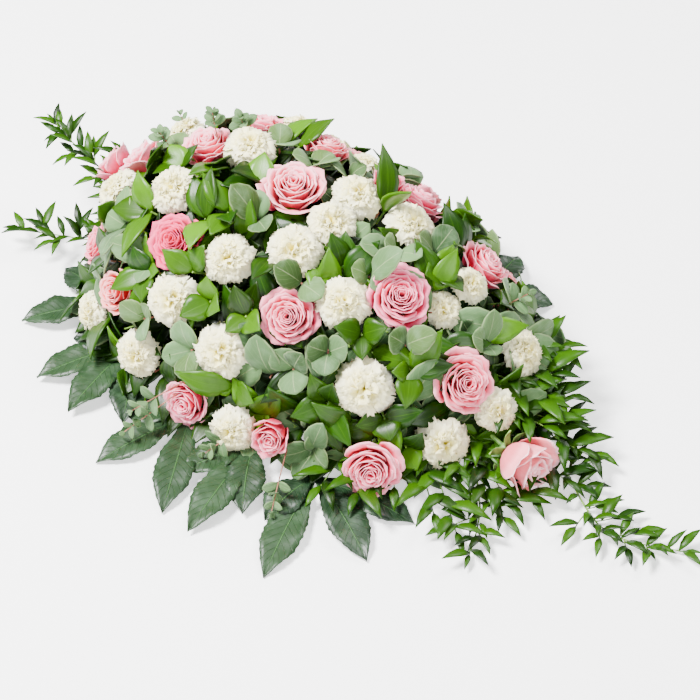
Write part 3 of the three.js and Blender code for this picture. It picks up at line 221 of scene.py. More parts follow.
def draw(n):
    """A repeatable draw from 0 to 1 for each whole number."""
    s = math.sin(n * 12.9898 + 4.1) * 43758.5453
    return s - math.floor(s)


def spot(point):
    return np.array(point[:3], float)


def unit(v):
    return v / np.linalg.norm(v)


def mound_half(p, grow=0.0):
    broad = p[0] < MOUND["ridge_x"]
    half = MOUND["broad_half" if broad else "tail_half"] + grow
    return half, MOUND_POWER["broad" if broad else "tail"]


def mound_value(p, grow):
    half, power = mound_half(p, grow)
    return (abs((p[0] - MOUND["ridge_x"]) / half) ** power + (p[1] / (MOUND["half_width"] + grow)) ** 2
            + (p[2] / (MOUND["height"] + grow)) ** 2 - 1)


def mound_normal(p):
    half, power = mound_half(p)
    u = (p[0] - MOUND["ridge_x"]) / half
    nx = math.copysign(power / 2 * abs(u) ** (power - 1) / half, u)
    return unit(np.array((nx, p[1] / MOUND["half_width"] ** 2, p[2] / MOUND["height"] ** 2)))


def on_mound(p, grow):
    """The point under p on the mound grown by so much, along the mound's normal."""
    normal = mound_normal(p)
    low, high = -SEARCH_REACH, SEARCH_REACH
    for _ in range(SEARCH_STEPS):
        middle = (low + high) / 2
        if mound_value(p + normal * middle, grow) > 0:
            high = middle
        else:
            low = middle
    return p + normal * low


def mound_guess(x, y, z):
    """A point near the mound: x and y are shares of its halves, z is in millimetres."""
    half = MOUND["tail_half"] if x > 0 else MOUND["broad_half"]
    return np.array((MOUND["ridge_x"] + x * half, y * MOUND["half_width"], z))


def foot_of(p):
    return HUB + FOOT_SHARE * (p - HUB)


def fork_on(foot, head, share):
    """A point on a stem, at a share of its length or as soon after it as the stem has left the foam."""
    while True:
        p = foot + (head - foot) * share
        past_end = abs(p[0] - FOAM["mid_x"]) - FOAM["length"] / 2
        if max(past_end, abs(p[1]) - FOAM["width"] / 2, p[2] - FOAM["top"]) >= FORK_ROOM:
            return p
        share += FORK_STEP


def across_axes(axis, turn):
    """Two directions square to an axis, turned round it by an angle."""
    helper = np.array((0.0, 0, 1)) if abs(axis[2]) < 0.9 else np.array((1.0, 0, 0))
    u = unit(np.cross(helper, axis))
    v = np.cross(axis, u)
    return u * math.cos(turn) + v * math.sin(turn), v * math.cos(turn) - u * math.sin(turn)


def bloom_facing(centre):
    lean = SHOW_LEAN * min(max((SHOW_REACH - centre[1]) / SHOW_REACH, 0), 1)
    return unit(mound_normal(centre) + SHOW_SIDE * lean)


def to_model(p):
    """A layout point in the model's metres."""
    return (np.asarray(p) + SHIFT) * MM


class Strand:
    """A number that runs through a finish, with Python's operators for its maths."""

    def __init__(self, finish, socket):
        self.finish = finish
        self.socket = socket

    def maths(self, operation, a, b=0.0):
        return self.finish.node("Math", {"operation": operation}, {0: a, 1: b})

    def __add__(self, other):
        return self.maths("ADD", self, other)

    def __sub__(self, other):
        return self.maths("SUBTRACT", self, other)

    def __rsub__(self, other):
        return self.maths("SUBTRACT", other, self)

    def __mul__(self, other):
        return self.maths("MULTIPLY", self, other)

    def __abs__(self):
        return self.maths("ABSOLUTE", self)

    def sine(self):
        return self.maths("SINE", self)

    __radd__ = __add__
    __rmul__ = __mul__

    def clamped(self):
        return self.finish.node("Clamp", {}, {"Value": self})

    def between(self, low, high):
        """0 at low, 1 at high, and smooth in between."""
        settings = {"interpolation_type": "SMOOTHSTEP"}
        return self.finish.node("MapRange", settings, {"Value": self, "From Min": low, "From Max": high})


class Finish:
    """One material: a principled surface and the nodes that feed it."""

    def __init__(self, name, **fixed):
        self.material = bpy.data.materials.new(name)
        self.material.use_nodes = True
        self.tree = self.material.node_tree
        self.surface = self.tree.nodes["Principled BSDF"].inputs
        for socket, value in fixed.items():
            self.surface[socket.replace("_", " ")].default_value = value

    def feed(self, socket, value):
        if isinstance(value, Strand):
            self.tree.links.new(value.socket, socket)
        elif isinstance(value, tuple) and len(value) == 3 and socket.type == "RGBA":
            socket.default_value = (*value, 1.0)
        else:
            socket.default_value = value

    def node(self, kind, settings=None, inputs=None, output=0):
        made = self.tree.nodes.new("ShaderNode" + kind)
        for key, value in (settings or {}).items():
            setattr(made, key, value)
        for key, value in (inputs or {}).items():
            self.feed(made.inputs[key], value)
        return Strand(self, made.outputs[output])

    def mix(self, a, b, share):
        """A blend of two colours, each a strand or six hex digits."""
        a, b = (paint(c) if isinstance(c, str) else c for c in (a, b))
        settings = {"data_type": "RGBA", "blend_type": "MIX", "clamp_factor": True}
        return self.node("Mix", settings, {0: share, 6: a, 7: b}, output=2)

    def parts(self, kind, whole):
        """The three numbers of a colour or a place."""
        outputs = self.node(kind, {}, {0: whole}).socket.node.outputs
        return [Strand(self, outputs[i]) for i in range(3)]

    def attribute(self, name):
        return self.parts("SeparateColor", self.node("Attribute", {"attribute_name": name}))

    def uv(self):
        """The two numbers of the piece's own UV map."""
        return self.parts("SeparateXYZ", self.node("UVMap"))[:2]

    def noise(self, scale, stretch=(1, 1, 1), detail=3.0, vector=None):
        place = vector or self.node("TexCoord", output=3)
        if stretch != (1, 1, 1):
            place = self.node("Mapping", {}, {"Vector": place, "Scale": stretch})
        return self.node("TexNoise", {}, {"Vector": place, "Scale": scale, "Detail": detail})

    def veins(self, across, along, shade, detail=2.0):
        """Fine streaks along a petal or a blade, placed anew on each one by its shade."""
        u, v = self.uv()
        place = self.node("CombineXYZ", {}, {0: u * across, 1: v * along, 2: shade * 9})
        return self.noise(1.0, vector=place, detail=detail)

    def midrib(self, start, end):
        """How far a place is off a blade's middle line, and the line itself."""
        side = abs(self.uv()[0] - 0.5)
        return side, 1 - side.between(start, end)

    def done(self, colour, roughness, height, strength, distance):
        """Feeds the surface, with a bump of a strength and a depth in metres, and returns the material."""
        normal = self.node("Bump", {}, {"Height": height, "Strength": strength, "Distance": distance})
        for socket, value in (("Base Color", colour), ("Roughness", roughness), ("Normal", normal)):
            self.feed(self.surface[socket], value)
        return self.material


def paint(text):
    """A colour from its six hex digits, as the linear values that a finish takes."""
    parts = [int(text[i:i + 2], 16) / 255 for i in (0, 2, 4)]
    return tuple(c / 12.92 if c <= 0.04045 else ((c + 0.055) / 1.055) ** 2.4 for c in parts)


def rose_petal_finish():
    """Pale at the lip and on the outer petals, deep in the folds and the heart; the deep pink is partly the
    rose's own colour, partly painted shade in the folds.
    """
    finish = Finish("rose_petal", Subsurface_Weight=0.12, Subsurface_Scale=0.004, Sheen_Weight=0.12,
                    Sheen_Roughness=0.4, Specular_IOR_Level=0.3, Subsurface_Radius=(1.0, 0.4, 0.35))
    along, layer, shade = finish.attribute("petal")
    blush, warmth, _ = finish.attribute("bloom")
    pink = finish.mix("f01c70", "f23a40", warmth)
    deep = finish.mix("c8003c", "cc041c", warmth)
    pale = finish.mix("ff8aa8", "ffa294", warmth)
    reach = along - (1 - layer) * 0.24
    lip = reach.between(0.56, 0.84)
    paleness = (lip * (0.85 + layer * 0.15) + layer * 0.1 + shade * 0.1 - blush * 0.75).clamped()
    # Deeper pink towards each petal's base, where the folds lie: partly the rose's own colour, partly painted
    # shade.
    fold = (1 - reach.between(0.46, 0.84) + blush * 0.34 - 0.08).clamped()
    colour = finish.mix(finish.mix(pink, pale, paleness), deep, fold)
    rim = (along.between(0.88, 1.0) * (0.7 - blush * 0.6)).clamped()
    colour = finish.mix(colour, "ffc4cc", rim)
    veins = finish.veins(34, 3, shade)
    colour = finish.mix(colour, deep, veins.between(0.5, 0.8) * 0.16)
    blotch = finish.noise(90, detail=2.0)
    colour = finish.mix(colour, pale, blotch.between(0.5, 0.75) * 0.14)
    return finish.done(colour, 0.5 + blotch * 0.18, veins, 0.35, 0.0006)


def carnation_petal_finish():
    finish = Finish("carnation_petal", Subsurface_Weight=0.15, Subsurface_Scale=0.004, Sheen_Weight=0.1,
                    Sheen_Roughness=0.5, Specular_IOR_Level=0.25, Subsurface_Radius=(1.0, 0.9, 0.6))
    along, layer, shade = finish.attribute("petal")
    heart = ((1 - layer) * 0.36 + shade * 0.16).clamped()
    # Yellower and darker towards each petal's base, down between the petals: partly the carnation's own
    # colour, partly painted shade in the crevices.
    colour = finish.mix(finish.mix("e8dc4c", "fffcdc", along.between(0.36, 0.9)), "f8e85c", heart)
    veins = finish.veins(26, 3, shade)
    colour = finish.mix(colour, "efe3a4", veins.between(0.45, 0.75) * 0.25)
    return finish.done(colour, 0.58 + veins * 0.15, veins, 0.4, 0.0005)


def ruscus_leaf_finish(name, dark, green, bright, gloss):
    """Glossy blades with fine parallel veins and a slightly paler midrib."""
    finish = Finish(name, Specular_IOR_Level=0.2, Coat_Weight=gloss, Coat_Roughness=0.16)
    youth, shade, _ = finish.attribute("tint")
    veins = finish.veins(44, 1.6, shade, 1.0)
    middle = finish.midrib(0.0, 0.03)[1]
    blotch = finish.noise(70, detail=4.0)
    # The tint's second number runs from dark to green: a random tone, and painted shade on the lower filling
    # leaves.
    colour = finish.mix(finish.mix(dark, green, shade), bright, youth)
    colour = finish.mix(colour, bright, veins.between(0.52, 0.75) * 0.2)
    colour = finish.mix(colour, bright, middle * 0.2)
    colour = finish.mix(colour, dark, blotch.between(0.5, 0.8) * 0.25)
    return finish.done(colour, 0.3 + blotch * 0.14, veins + middle * 0.8, 0.25, 0.0004)


def eucalyptus_leaf_finish():
    """Matt grey-green blades with a pale midrib and edge."""
    finish = Finish("eucalyptus_leaf", Specular_IOR_Level=0.25, Sheen_Weight=0.05, Sheen_Roughness=0.5)
    youth, shade, _ = finish.attribute("tint")
    side, middle = finish.midrib(0.0, 0.03)
    ribs = ((finish.uv()[1] - side * 0.9) * 42).sine().between(0.88, 1.0)
    bloom = finish.noise(55, detail=4.0)
    # The tint's second number runs from dark to grey-green: a random tone, and painted shade on the lower
    # filling leaves.
    colour = finish.mix(finish.mix("1c3a14", "5b7e4e", shade), "5c7428", youth * 0.5)
    colour = finish.mix(colour, "73906a", bloom.between(0.42, 0.75) * 0.4)
    lines = (middle * 0.45 + ribs * 0.1 + side.between(0.43, 0.5) * 0.35).clamped()
    colour = finish.mix(colour, "98a676", lines)
    return finish.done(colour, 0.6 + bloom * 0.2, ribs * 0.4 + middle + bloom * 0.3, 0.4, 0.0005)


def aralia_leaf_finish():
    """Dark leathery blades with a pale midrib and sunken side ribs."""
    finish = Finish("aralia_leaf", Specular_IOR_Level=0.35, Coat_Weight=0.06, Coat_Roughness=0.28)
    shade = finish.attribute("tint")[1]
    side, middle = finish.midrib(0.004, 0.028)
    ribs = ((finish.uv()[1] - side * 0.32) * 88).sine().between(0.8, 1.0) * (1 - side.between(0.36, 0.5))
    mottle = finish.noise(60, detail=5.0)
    colour = finish.mix(finish.mix("0f2412", "20381c", shade), "365034", mottle.between(0.45, 0.75) * 0.6)
    colour = finish.mix(colour, "3f6634", (middle * 0.75 + ribs * 0.12).clamped())
    return finish.done(colour, 0.36 + mottle * 0.16, mottle * 0.6 + middle - ribs * 0.8, 0.8, 0.0014)


def grained_finish(name, specular, colours, grain, roughness, bump, spots=None):
    """Fine grain between two colours, and wider spots: colour, range, share, then their noise's settings."""
    finish = Finish(name, Specular_IOR_Level=specular)
    fine = finish.noise(*grain)
    colour = finish.mix(*colours, fine.between(0.3, 0.7))
    base, by_grain, by_spots = roughness
    rough = base + fine * by_grain
    if spots:
        tint, low, high, share, *pattern = spots
        wide = finish.noise(*pattern)
        colour = finish.mix(colour, tint, wide.between(low, high) * share)
        rough = rough + wide * by_spots
    return finish.done(colour, rough, fine, *bump)


def floor_finish():
    finish = Finish("pale_floor", Specular_IOR_Level=0.2, Emission_Strength=0.9, Emission_Color=(1, 1, 1, 1),
                    Roughness=0.7)
    finish.feed(finish.surface["Base Color"], finish.mix("f7f7f8", "fbfbfb", finish.noise(3, detail=2.0)))
    return finish.material


def alone(thing):
    bpy.ops.object.select_all(action="DESELECT")
    thing.select_set(True)
    bpy.context.view_layer.objects.active = thing
    return thing


def bake_modifier(thing, kind, **settings):
    modifier = alone(thing).modifiers.new(kind.lower(), kind)
    for key, value in settings.items():
        setattr(modifier, key, value)
    bpy.ops.object.modifier_apply(modifier=modifier.name)


def corners_of(mesh):
    co = np.empty(len(mesh.vertices) * 3, np.float32)
    mesh.vertices.foreach_get("co", co)
    return co.reshape(-1, 3)


def set_points(thing, points):
    thing.data.vertices.foreach_set("co", np.ascontiguousarray(points, np.float32).ravel())
    thing.data.update()


def new_sheet(across, along):
    """A flat sheet of quads, one unit each way; returns it and each corner's place across and along."""
    bpy.ops.object.select_all(action="DESELECT")
    bpy.ops.mesh.primitive_grid_add(x_subdivisions=across, y_subdivisions=along, size=1)
    co = corners_of(bpy.context.object.data).astype(float)
    return bpy.context.object, co[:, 0] * 2, co[:, 1] + 0.5


def mark(thing, name, values):
    """Gives each corner a colour attribute; values is one row for all, or a row for each corner."""
    attributes = thing.data.color_attributes
    data = attributes.get(name) or attributes.new(name, "FLOAT_COLOR", "POINT")
    table = np.ones((len(thing.data.vertices), 4), np.float32)
    table[:, :3] = values
    data.data.foreach_set("color", table.ravel())


def rest_on_table(thing):
    """Lays on the table whatever hangs below it."""
    points = corners_of(thing.data)
    low = points[:, 2] < TABLE_ROOM
    points[low, 2] = TABLE_ROOM + 0.1 * (points[low, 2] - points[low, 2].min(initial=TABLE_ROOM))
    set_points(thing, points)


def join(name, things):
    bpy.ops.object.select_all(action="DESELECT")
    for thing in things:
        thing.select_set(True)
    bpy.context.view_layer.objects.active = things[0]
    if len(things) > 1:
        bpy.ops.object.join()
    joined = bpy.context.view_layer.objects.active
    joined.name = joined.data.name = name
    return joined


def copy_of(master, x, y, z, origin):
    """A copy of a master with its own mesh, its axes taken to x, y and z from the origin."""
    matrix = Matrix.Identity(4)
    for column, axis in enumerate((x, y, z, origin)):
        for row in range(3):
            matrix[row][column] = axis[row]
    copied = master.copy()
    copied.data = master.data.copy()
    copied.data.transform(matrix)
    bpy.context.scene.collection.objects.link(copied)
    return copied


def tubes(name, routes, finish, resolution=1):
    """Round stems along routes in layout millimetres: each is (points, radius at its start, at its end)."""
    curve = bpy.data.curves.new(name, "CURVE")
    curve.dimensions = "3D"
    curve.bevel_depth = 1.0
    curve.bevel_resolution = resolution
    curve.resolution_u = 3
    curve.use_fill_caps = True
    for points, start, end in routes:
        spline = curve.splines.new("NURBS" if len(points) > 2 else "POLY")
        spline.points.add(len(points) - 1)
        for i, (point, knot) in enumerate(zip(points, spline.points)):
            knot.co = (*to_model(point), 1.0)
            knot.radius = MM * (start + (end - start) * i / (len(points) - 1))
        if len(points) > 2:
            spline.order_u = 3
            spline.use_endpoint_u = True
    thing = bpy.data.objects.new(name, curve)
    bpy.context.scene.collection.objects.link(thing)
    alone(thing)
    bpy.ops.object.convert(target="MESH")
    made = bpy.context.object
    made.data.materials.clear()
    made.data.materials.append(finish)
    for attribute, row in (("petal", (0, 0, 0)), ("bloom", (0, 0, 0)), ("tint", (0.4, 0.5, 0))):
        mark(made, attribute, row)
    return made


def smooth(low, high, x):
    t = np.clip((x - low) / (high - low), 0, 1)
    return t * t * (3 - 2 * t)


def curve_through(s, p0, p1, p2, p3):
    """A point on the smooth profile that p0 to p3 pull into shape."""
    weights = ((1 - s) ** 3, 3 * s * (1 - s) ** 2, 3 * s ** 2 * (1 - s), s ** 3)
    return [sum(w * p[k] for w, p in zip(weights, (p0, p1, p2, p3))) for k in (0, 1)]


GOLDEN_TURN = math.radians(137.5)
# Petals, how far the outer ones droop and spread, and the height of the heart, for a rose of diameter 1
ROSE_FORMS = {
    "open": {"petals": 32, "spread": 1.0, "heart": 0.12, "flare": 1.0, "seed": 1000},
    "full": {"petals": 27, "spread": 0.8, "heart": 0.17, "flare": 0.97, "seed": 1200},
    "cup": {"petals": 19, "spread": 0.3, "heart": 0.2, "flare": 0.76, "seed": 1400},
    "bell": {"petals": 14, "spread": 0.15, "heart": 0.16, "flare": 0.9, "seed": 1600},
}
CARNATION_FORMS = {
    "full": {"petals": 36, "ruffle": 1.25, "seed": 2000},
    "round": {"petals": 33, "ruffle": 1.25, "seed": 2300},
    "loose": {"petals": 29, "ruffle": 1.25, "seed": 2600},
}
CARNATION_TEETH = 8
# Lengths here are shares of a bloom's diameter
SEPALS = 5
HIP = {"radius": 0.085, "height": -0.415}
CALYX = {"foot": 0.075, "rim": 0.135, "length": 0.46, "height": -0.39, "hollow": 0.05, "teeth": (-0.02, 0.05)}


def turned(reach, across, z, turn):
    """Corners at a reach from the axis and a place across, turned round +Z."""
    cos, sin = math.cos(turn), math.sin(turn)
    return np.stack([reach * cos - across * sin, reach * sin + across * cos, z], 1)


def rose_petal_points(u, v, t, turn, form, seed):
    """A cupped petal whose lip curls out; t runs from 0 at the heart to 1 at the outermost."""
    spread, heart = form["spread"], form["heart"]
    half = math.radians(104 - 56 * t)
    point = 0.035 * t * np.exp(-(u / 0.16) ** 2)
    s = v * (1 - (0.06 + 0.17 * t) * np.abs(u) ** 2.4 + point)
    width = np.sin(math.pi * (0.17 + 0.52 * v)) ** 0.8
    lip_r = (0.022 + 0.33 * t + 0.1 * t * t + 0.03 * (draw(seed + 3) - 0.5) * t) * form["flare"]
    lip_z = heart + 0.2 * t * (1 - t) - (0.2 * spread) * t ** 1.7
    r, z = curve_through(
        s, (0.02 + 0.05 * t, -0.36), (0.06 + 0.3 * t, -0.34 + 0.05 * t),
        (lip_r * (1.0 - 0.16 * t) + 0.008, lip_z - 0.2 * (1 - t) - 0.07 * t), (lip_r, lip_z),
    )
    lean = 0.35 + 0.65 * t
    curl = smooth(0.7, 1.0, s) ** 1.6
    side = smooth(0.55, 1.0, np.abs(u)) * smooth(0.35, 1.0, v)
    phase, other = FULL_TURN * draw(seed), FULL_TURN * draw(seed + 1)
    wave = np.sin(1.9 * math.pi * u + phase) * 0.6 + np.sin(4.4 * math.pi * u + other) * 0.4
    r = r * (1 + 0.12 * u * (1 - 0.4 * t)) + curl * 0.055 * lean + side * 0.03 * lean
    r = r + wave * 0.026 * s * lean
    z = z - curl * 0.06 * lean * spread - side * 0.04 * lean + wave * 0.034 * curl * lean
    z = z + 0.05 * (draw(seed + 2) - 0.5) * s
    angle = turn + half * u * width
    return np.stack([r * np.cos(angle), r * np.sin(angle), z], 1)


def carnation_petal_points(u, v, t, turn, form, seed):
    """A fan on a narrow claw: pleated lengthways, toothed at its rim, upright inside and spread outside."""
    lean = math.radians(3 + 32 * draw(seed + 5) * (1 - t) + 84 * t ** 0.95)
    length = 0.38 + 0.12 * t + 0.09 * (draw(seed) - 0.5)
    tooth = ((0.026 - 0.004 * t) * np.cos(CARNATION_TEETH * math.pi * (u + 1))
             + 0.03 * np.sin(5.3 * u + FULL_TURN * draw(seed + 1)))
    s = v * (1 - 0.2 * np.abs(u) ** 2.2) + tooth * smooth(0.8, 1.0, v)
    across = u * (0.02 + (0.29 + 0.14 * t) * s ** 1.2)
    bend = lean * (0.35 + 0.65 * s) + 0.25 * t * smooth(0.7, 1.0, s)
    reach, height = length * s * np.sin(bend), length * s * np.cos(bend)
    phase = [FULL_TURN * draw(seed + k) for k in (2, 3, 4)]
    frill = (form["ruffle"] - 0.6 * t) * s ** 1.6 * (
        0.055 * np.sin(2.2 * math.pi * u + phase[0])
        + 0.045 * s ** 2 * np.sin(6.4 * math.pi * u + phase[1])
        + 0.03 * (1 - t) * np.sin(3.1 * math.pi * s + phase[2])
    )
    reach = reach - frill * math.cos(lean)
    height = height + frill * math.sin(lean)
    across = across + 0.03 * (1 - t) * s * np.sin(5 * math.pi * s + phase[1])
    return turned(reach, across, height - 0.14, turn)


def calyx_of_rose():
    """The hip under a rose and its five narrow sepals."""
    bpy.ops.object.select_all(action="DESELECT")
    bpy.ops.mesh.primitive_uv_sphere_add(segments=12, ring_count=8, radius=HIP["radius"],
                                         location=(0, 0, HIP["height"]))
    bpy.ops.object.transform_apply(location=True, rotation=True, scale=True)
    pieces = [bpy.context.object]
    for k in range(SEPALS):
        sepal, u, v = new_sheet(2, 6)
        half = 0.05 * np.sin(math.pi * (0.25 + 0.75 * v)) ** 0.8 + 0.004
        z = -0.36 - 0.05 * np.sin(math.pi * v) + 0.02 * v - 0.04 * v * draw(k + 7) + 0.015 * u * u
        turn = 2 * math.pi * k / SEPALS + 0.2 * draw(k)
        set_points(sepal, turned(0.06 + 0.3 * v, u * half, z - 0.02, turn))
        bake_modifier(sepal, "SOLIDIFY", thickness=0.01, offset=0.0)
        pieces.append(sepal)
    return pieces


def calyx_of_carnation():
    """The long green tube under a carnation, toothed at its rim."""
    bpy.ops.object.select_all(action="DESELECT")
    bpy.ops.mesh.primitive_cone_add(vertices=10, radius1=CALYX["foot"], radius2=CALYX["rim"],
                                    depth=CALYX["length"], location=(0, 0, CALYX["height"]))
    tube = bpy.context.object
    bpy.ops.object.transform_apply(location=True, rotation=True, scale=True)
    bpy.ops.object.mode_set(mode="EDIT")
    bpy.ops.mesh.select_all(action="DESELECT")
    mesh = bmesh.from_edit_mesh(tube.data)
    for face in mesh.faces:
        face.select = face.normal.z > 0.9
    bmesh.update_edit_mesh(tube.data)
    bpy.ops.mesh.inset(thickness=0.02)
    bpy.ops.transform.translate(value=(0, 0, -CALYX["hollow"]))
    mesh = bmesh.from_edit_mesh(tube.data)
    rim = sorted((v for v in mesh.verts if v.co.z > -0.17 and v.co.xy.length > CALYX["rim"] - 0.01),
                 key=lambda v: math.atan2(v.co.y, v.co.x))
    for i, corner in enumerate(rim):
        corner.co.z += CALYX["teeth"][i % 2]
    bmesh.update_edit_mesh(tube.data)
    bpy.ops.object.mode_set(mode="OBJECT")
    bake_modifier(tube, "BEVEL", width=0.012, segments=2)
    return [tube]


# How each kind of bloom is made: its petals' shape, quads, draws each, sway round the axis and thickness,
# and its calyx; then where its stem ends and forks below its centre, and its forms on the far side
BLOOMS = {
    "rose": {
        "points": rose_petal_points, "quads": (12, 8), "draws": 5, "sway": 0.3, "thickness": 0.008,
        "calyx": calyx_of_rose, "seed": 1, "neck": 0.46, "fork": 0.52, "far": ("open", "cup"),
    },
    "carnation": {
        "points": carnation_petal_points, "quads": (16, 6), "draws": 6, "sway": 0.8, "thickness": 0.006,
        "calyx": calyx_of_carnation, "seed": 101, "neck": 0.6, "fork": 0.64, "far": ("full", "round"),
    },
}


def model_bloom(kind, name, form, petal_finish, green):
    """One bloom of diameter 1 round +Z, its centre at the origin."""
    made_by = BLOOMS[kind]
    petals = []
    for i in range(form["petals"]):
        t = i / (form["petals"] - 1)
        number = form["seed"] + made_by["draws"] * i
        turn = i * GOLDEN_TURN + made_by["sway"] * (draw(number) - 0.5)
        petal, u, v = new_sheet(*made_by["quads"])
        set_points(petal, made_by["points"](u, v, t, turn, form, number + 1))
        shade = draw(number + made_by["draws"] - 1)
        mark(petal, "petal", np.stack([v, np.full_like(v, t), np.full_like(v, shade)], 1))
        petal.data.materials.append(petal_finish)
        petals.append(petal)
    head = join(f"{kind}_{name}", petals)
    bake_modifier(head, "SOLIDIFY", thickness=made_by["thickness"], offset=0.0)
    calyx = made_by["calyx"]()
    for piece in calyx:
        piece.data.materials.append(green)
        mark(piece, "petal", (0, 0, 0))
    return join(f"{kind}_{name}", [head, *calyx])


# Each rose's form, how pink and how warm it is, and how much its petals outgrow its solid
ROSE_LOOKS = [
    ("bell", 0.1, 0.1, 1.2), ("bell", -0.3, 0.15, 1.25), ("full", 0.1, 0.25, 1.18), ("cup", 0.3, 0.2, 1.25),
    ("full", 0.1, 0.3, 1.06), ("full", 0.25, 0.4, 1.1), ("cup", 0.3, 0.3, 1.25), ("cup", 0.4, 0.0, 1.25),
    ("full", 0.3, 0.0, 1.12), ("full", 0.25, 0.2, 1.1), ("open", 0.5, 0.0, 1.04), ("open", 0.45, 0.2, 1.0),
    ("open", 0.4, 0.3, 1.04), ("bell", -1.2, 0.45, 1.3), ("open", 0.3, 0.2, 1.0), ("cup", 0.4, 0.2, 1.3),
    ("full", 0.3, 0.1, 1.08), ("full", 0.45, 0.9, 1.04), ("full", 0.5, 0.1, 1.06), ("open", 1.1, 0.0, 1.04),
]
TAIL_FACING = (1, -0.2, 0.02)
# The looks of every bloom on the far side
FAR_BLUSH = 0.3
FAR_WARMTH = 0.3


def bloom_head(kind, entry, n, form, blush, warmth, grown=1.0):
    """A copied head at its place in the model; returns it and its stem's route and radii."""
    centre, size = spot(entry), entry[3]
    at_tail = kind == "rose" and n == TAIL_ROSE
    facing = unit(np.array(TAIL_FACING)) if at_tail else bloom_facing(centre)
    u, v = across_axes(facing, 2 * math.pi * draw(n + BLOOMS[kind]["seed"]) + sum(entry[4:]))
    scale = size * MM * grown
    head = copy_of(bloom_masters[kind][form], u * scale, v * scale, facing * scale, to_model(centre))
    mark(head, "bloom", (blush, warmth, 0))
    foot, neck = foot_of(centre), centre - facing * size * BLOOMS[kind]["neck"]
    return head, ([foot, (foot + neck) / 2, neck], STEM[kind], STEM[kind] * NECK_SHARE)


def bloom_piece(name, *bloom):
    head, stem = bloom_head(*bloom)
    return join(name, [head, tubes(name + "_stem", [stem], green)])


def far_group(name, node, kind, entries, seed, depth):
    """The far side's blooms on one branching stem, with the thin runners between them."""
    solids = Solids(node)
    heads, routes, forks = [], [], []
    for n, entry in enumerate(entries):
        head, stem = bloom_head(kind, entry, seed + n, BLOOMS[kind]["far"][n % 2], FAR_BLUSH, FAR_WARMTH)
        heads.append(head)
        routes.append(stem)
        top = spot(entry) - bloom_facing(spot(entry)) * entry[3] * BLOOMS[kind]["fork"]
        forks.append(fork_on(stem[0][0], top, depth))
    thin = STEM["runner"]
    for a, b in zip(forks, forks[1:]):
        routes.append(([a, *knee_between(solids, a, b, thin), b], thin, thin))
    return join(name, [*heads, tubes(name + "_stems", routes, green)])


# A leaf's rows: the place along it, and the share of its full width there
RUSCUS_ROWS = [(0, 0.06), (0.1, 0.42), (0.24, 0.84), (0.4, 1), (0.58, 0.88), (0.75, 0.56), (0.89, 0.22),
               (1, 0)]
EUCALYPTUS_ROWS = [(0, 0.08), (0.12, 0.5), (0.3, 0.86), (0.52, 1.0), (0.74, 0.86), (0.91, 0.46), (1, 0)]
TRAIL_ROWS = [(0, 0.1), (0.2, 0.74), (0.42, 1.0), (0.72, 0.62), (1, 0)]
BLADE_THICKNESS = 0.03
# A row that has been shaped waits this far above the sheet, so that no later row takes it along
ASIDE = 2


def leaf_blade(name, rows, finish, across, fold, arch, twist=0.0):
    """A leaf of length 1 along +Y and full width 1."""
    sheet, _, _ = new_sheet(across, len(rows) - 1)
    bpy.ops.object.mode_set(mode="EDIT")
    for k, (place, share) in enumerate(rows):
        here = k / (len(rows) - 1) - 0.5
        mesh = bmesh.from_edit_mesh(sheet.data)
        bpy.ops.mesh.select_all(action="DESELECT")
        for corner in mesh.verts:
            corner.select = abs(corner.co.y - here) < 1e-4 and abs(corner.co.z) < 1e-6
        mesh.select_flush_mode()
        bmesh.update_edit_mesh(sheet.data)
        bpy.ops.transform.resize(value=(max(share, 0.004), 1, 1), center_override=(0, here, 0))
        rise = arch * math.sin(math.pi * place) + ASIDE
        bpy.ops.transform.translate(value=(0, place - here, rise))
    bpy.ops.mesh.select_all(action="SELECT")
    bpy.ops.transform.translate(value=(0, 0, -ASIDE))
    mesh = bmesh.from_edit_mesh(sheet.data)
    for corner in mesh.verts:
        corner.co.z += fold * abs(corner.co.x) + twist * corner.co.x * corner.co.y
    bmesh.update_edit_mesh(sheet.data)
    bpy.ops.mesh.remove_doubles(threshold=0.003)
    bpy.ops.object.mode_set(mode="OBJECT")
    bake_modifier(sheet, "SOLIDIFY", thickness=BLADE_THICKNESS, offset=0.0)
    sheet.name = name
    sheet.data.materials.append(finish)
    bpy.ops.object.shade_smooth()
    return sheet


def blades(name, rows, finish, shapes, across=4):
    """A plant's master leaves, one for each shape: its fold along the rib, its arch and its twist."""
    return [leaf_blade(f"{name}_blade_{k}", rows, finish, across, *shape) for k, shape in enumerate(shapes)]


def place_leaf(masters, base, tip, up, width, tint, pick):
    """A copied leaf from base to tip, in layout millimetres."""
    along = tip - base
    length = np.linalg.norm(along)
    along = along / length
    side = unit(np.cross(along, up))
    lift = np.cross(side, along)
    leaf = copy_of(masters[pick % len(masters)], side * width * MM, along * length * MM, lift * length * MM,
                   to_model(base))
    mark(leaf, "tint", (*tint, 0))
    return leaf


class Solids:
    """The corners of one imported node, to find what was grown there."""

    def __init__(self, node):
        points = corners_of(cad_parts[node].data) / MM - SHIFT
        self.tree = KDTree(len(points))
        for i, point in enumerate(points):
            self.tree.insert(point, i)
        self.tree.balance()

    def has(self, point):
        return self.tree.find(point)[2] < FIND_WITHIN

    def ring_at(self, point, radius):
        near = [d for _, _, d in self.tree.find_range(point, radius + RING_ROOM) if d > radius - RING_ROOM]
        return len(near) >= 3


def knee_between(solids, a, b, radius):
    """The bend that a twig took between two points, or nothing where it ran straight."""
    middle = (a + b) / 2
    out = mound_normal(middle)
    side = unit(np.cross(b - a, out))
    for sideways, outward in BENDS:
        knee = middle + side * sideways + out * outward
        if solids.ring_at(knee, radius):
            return [knee]
    return []


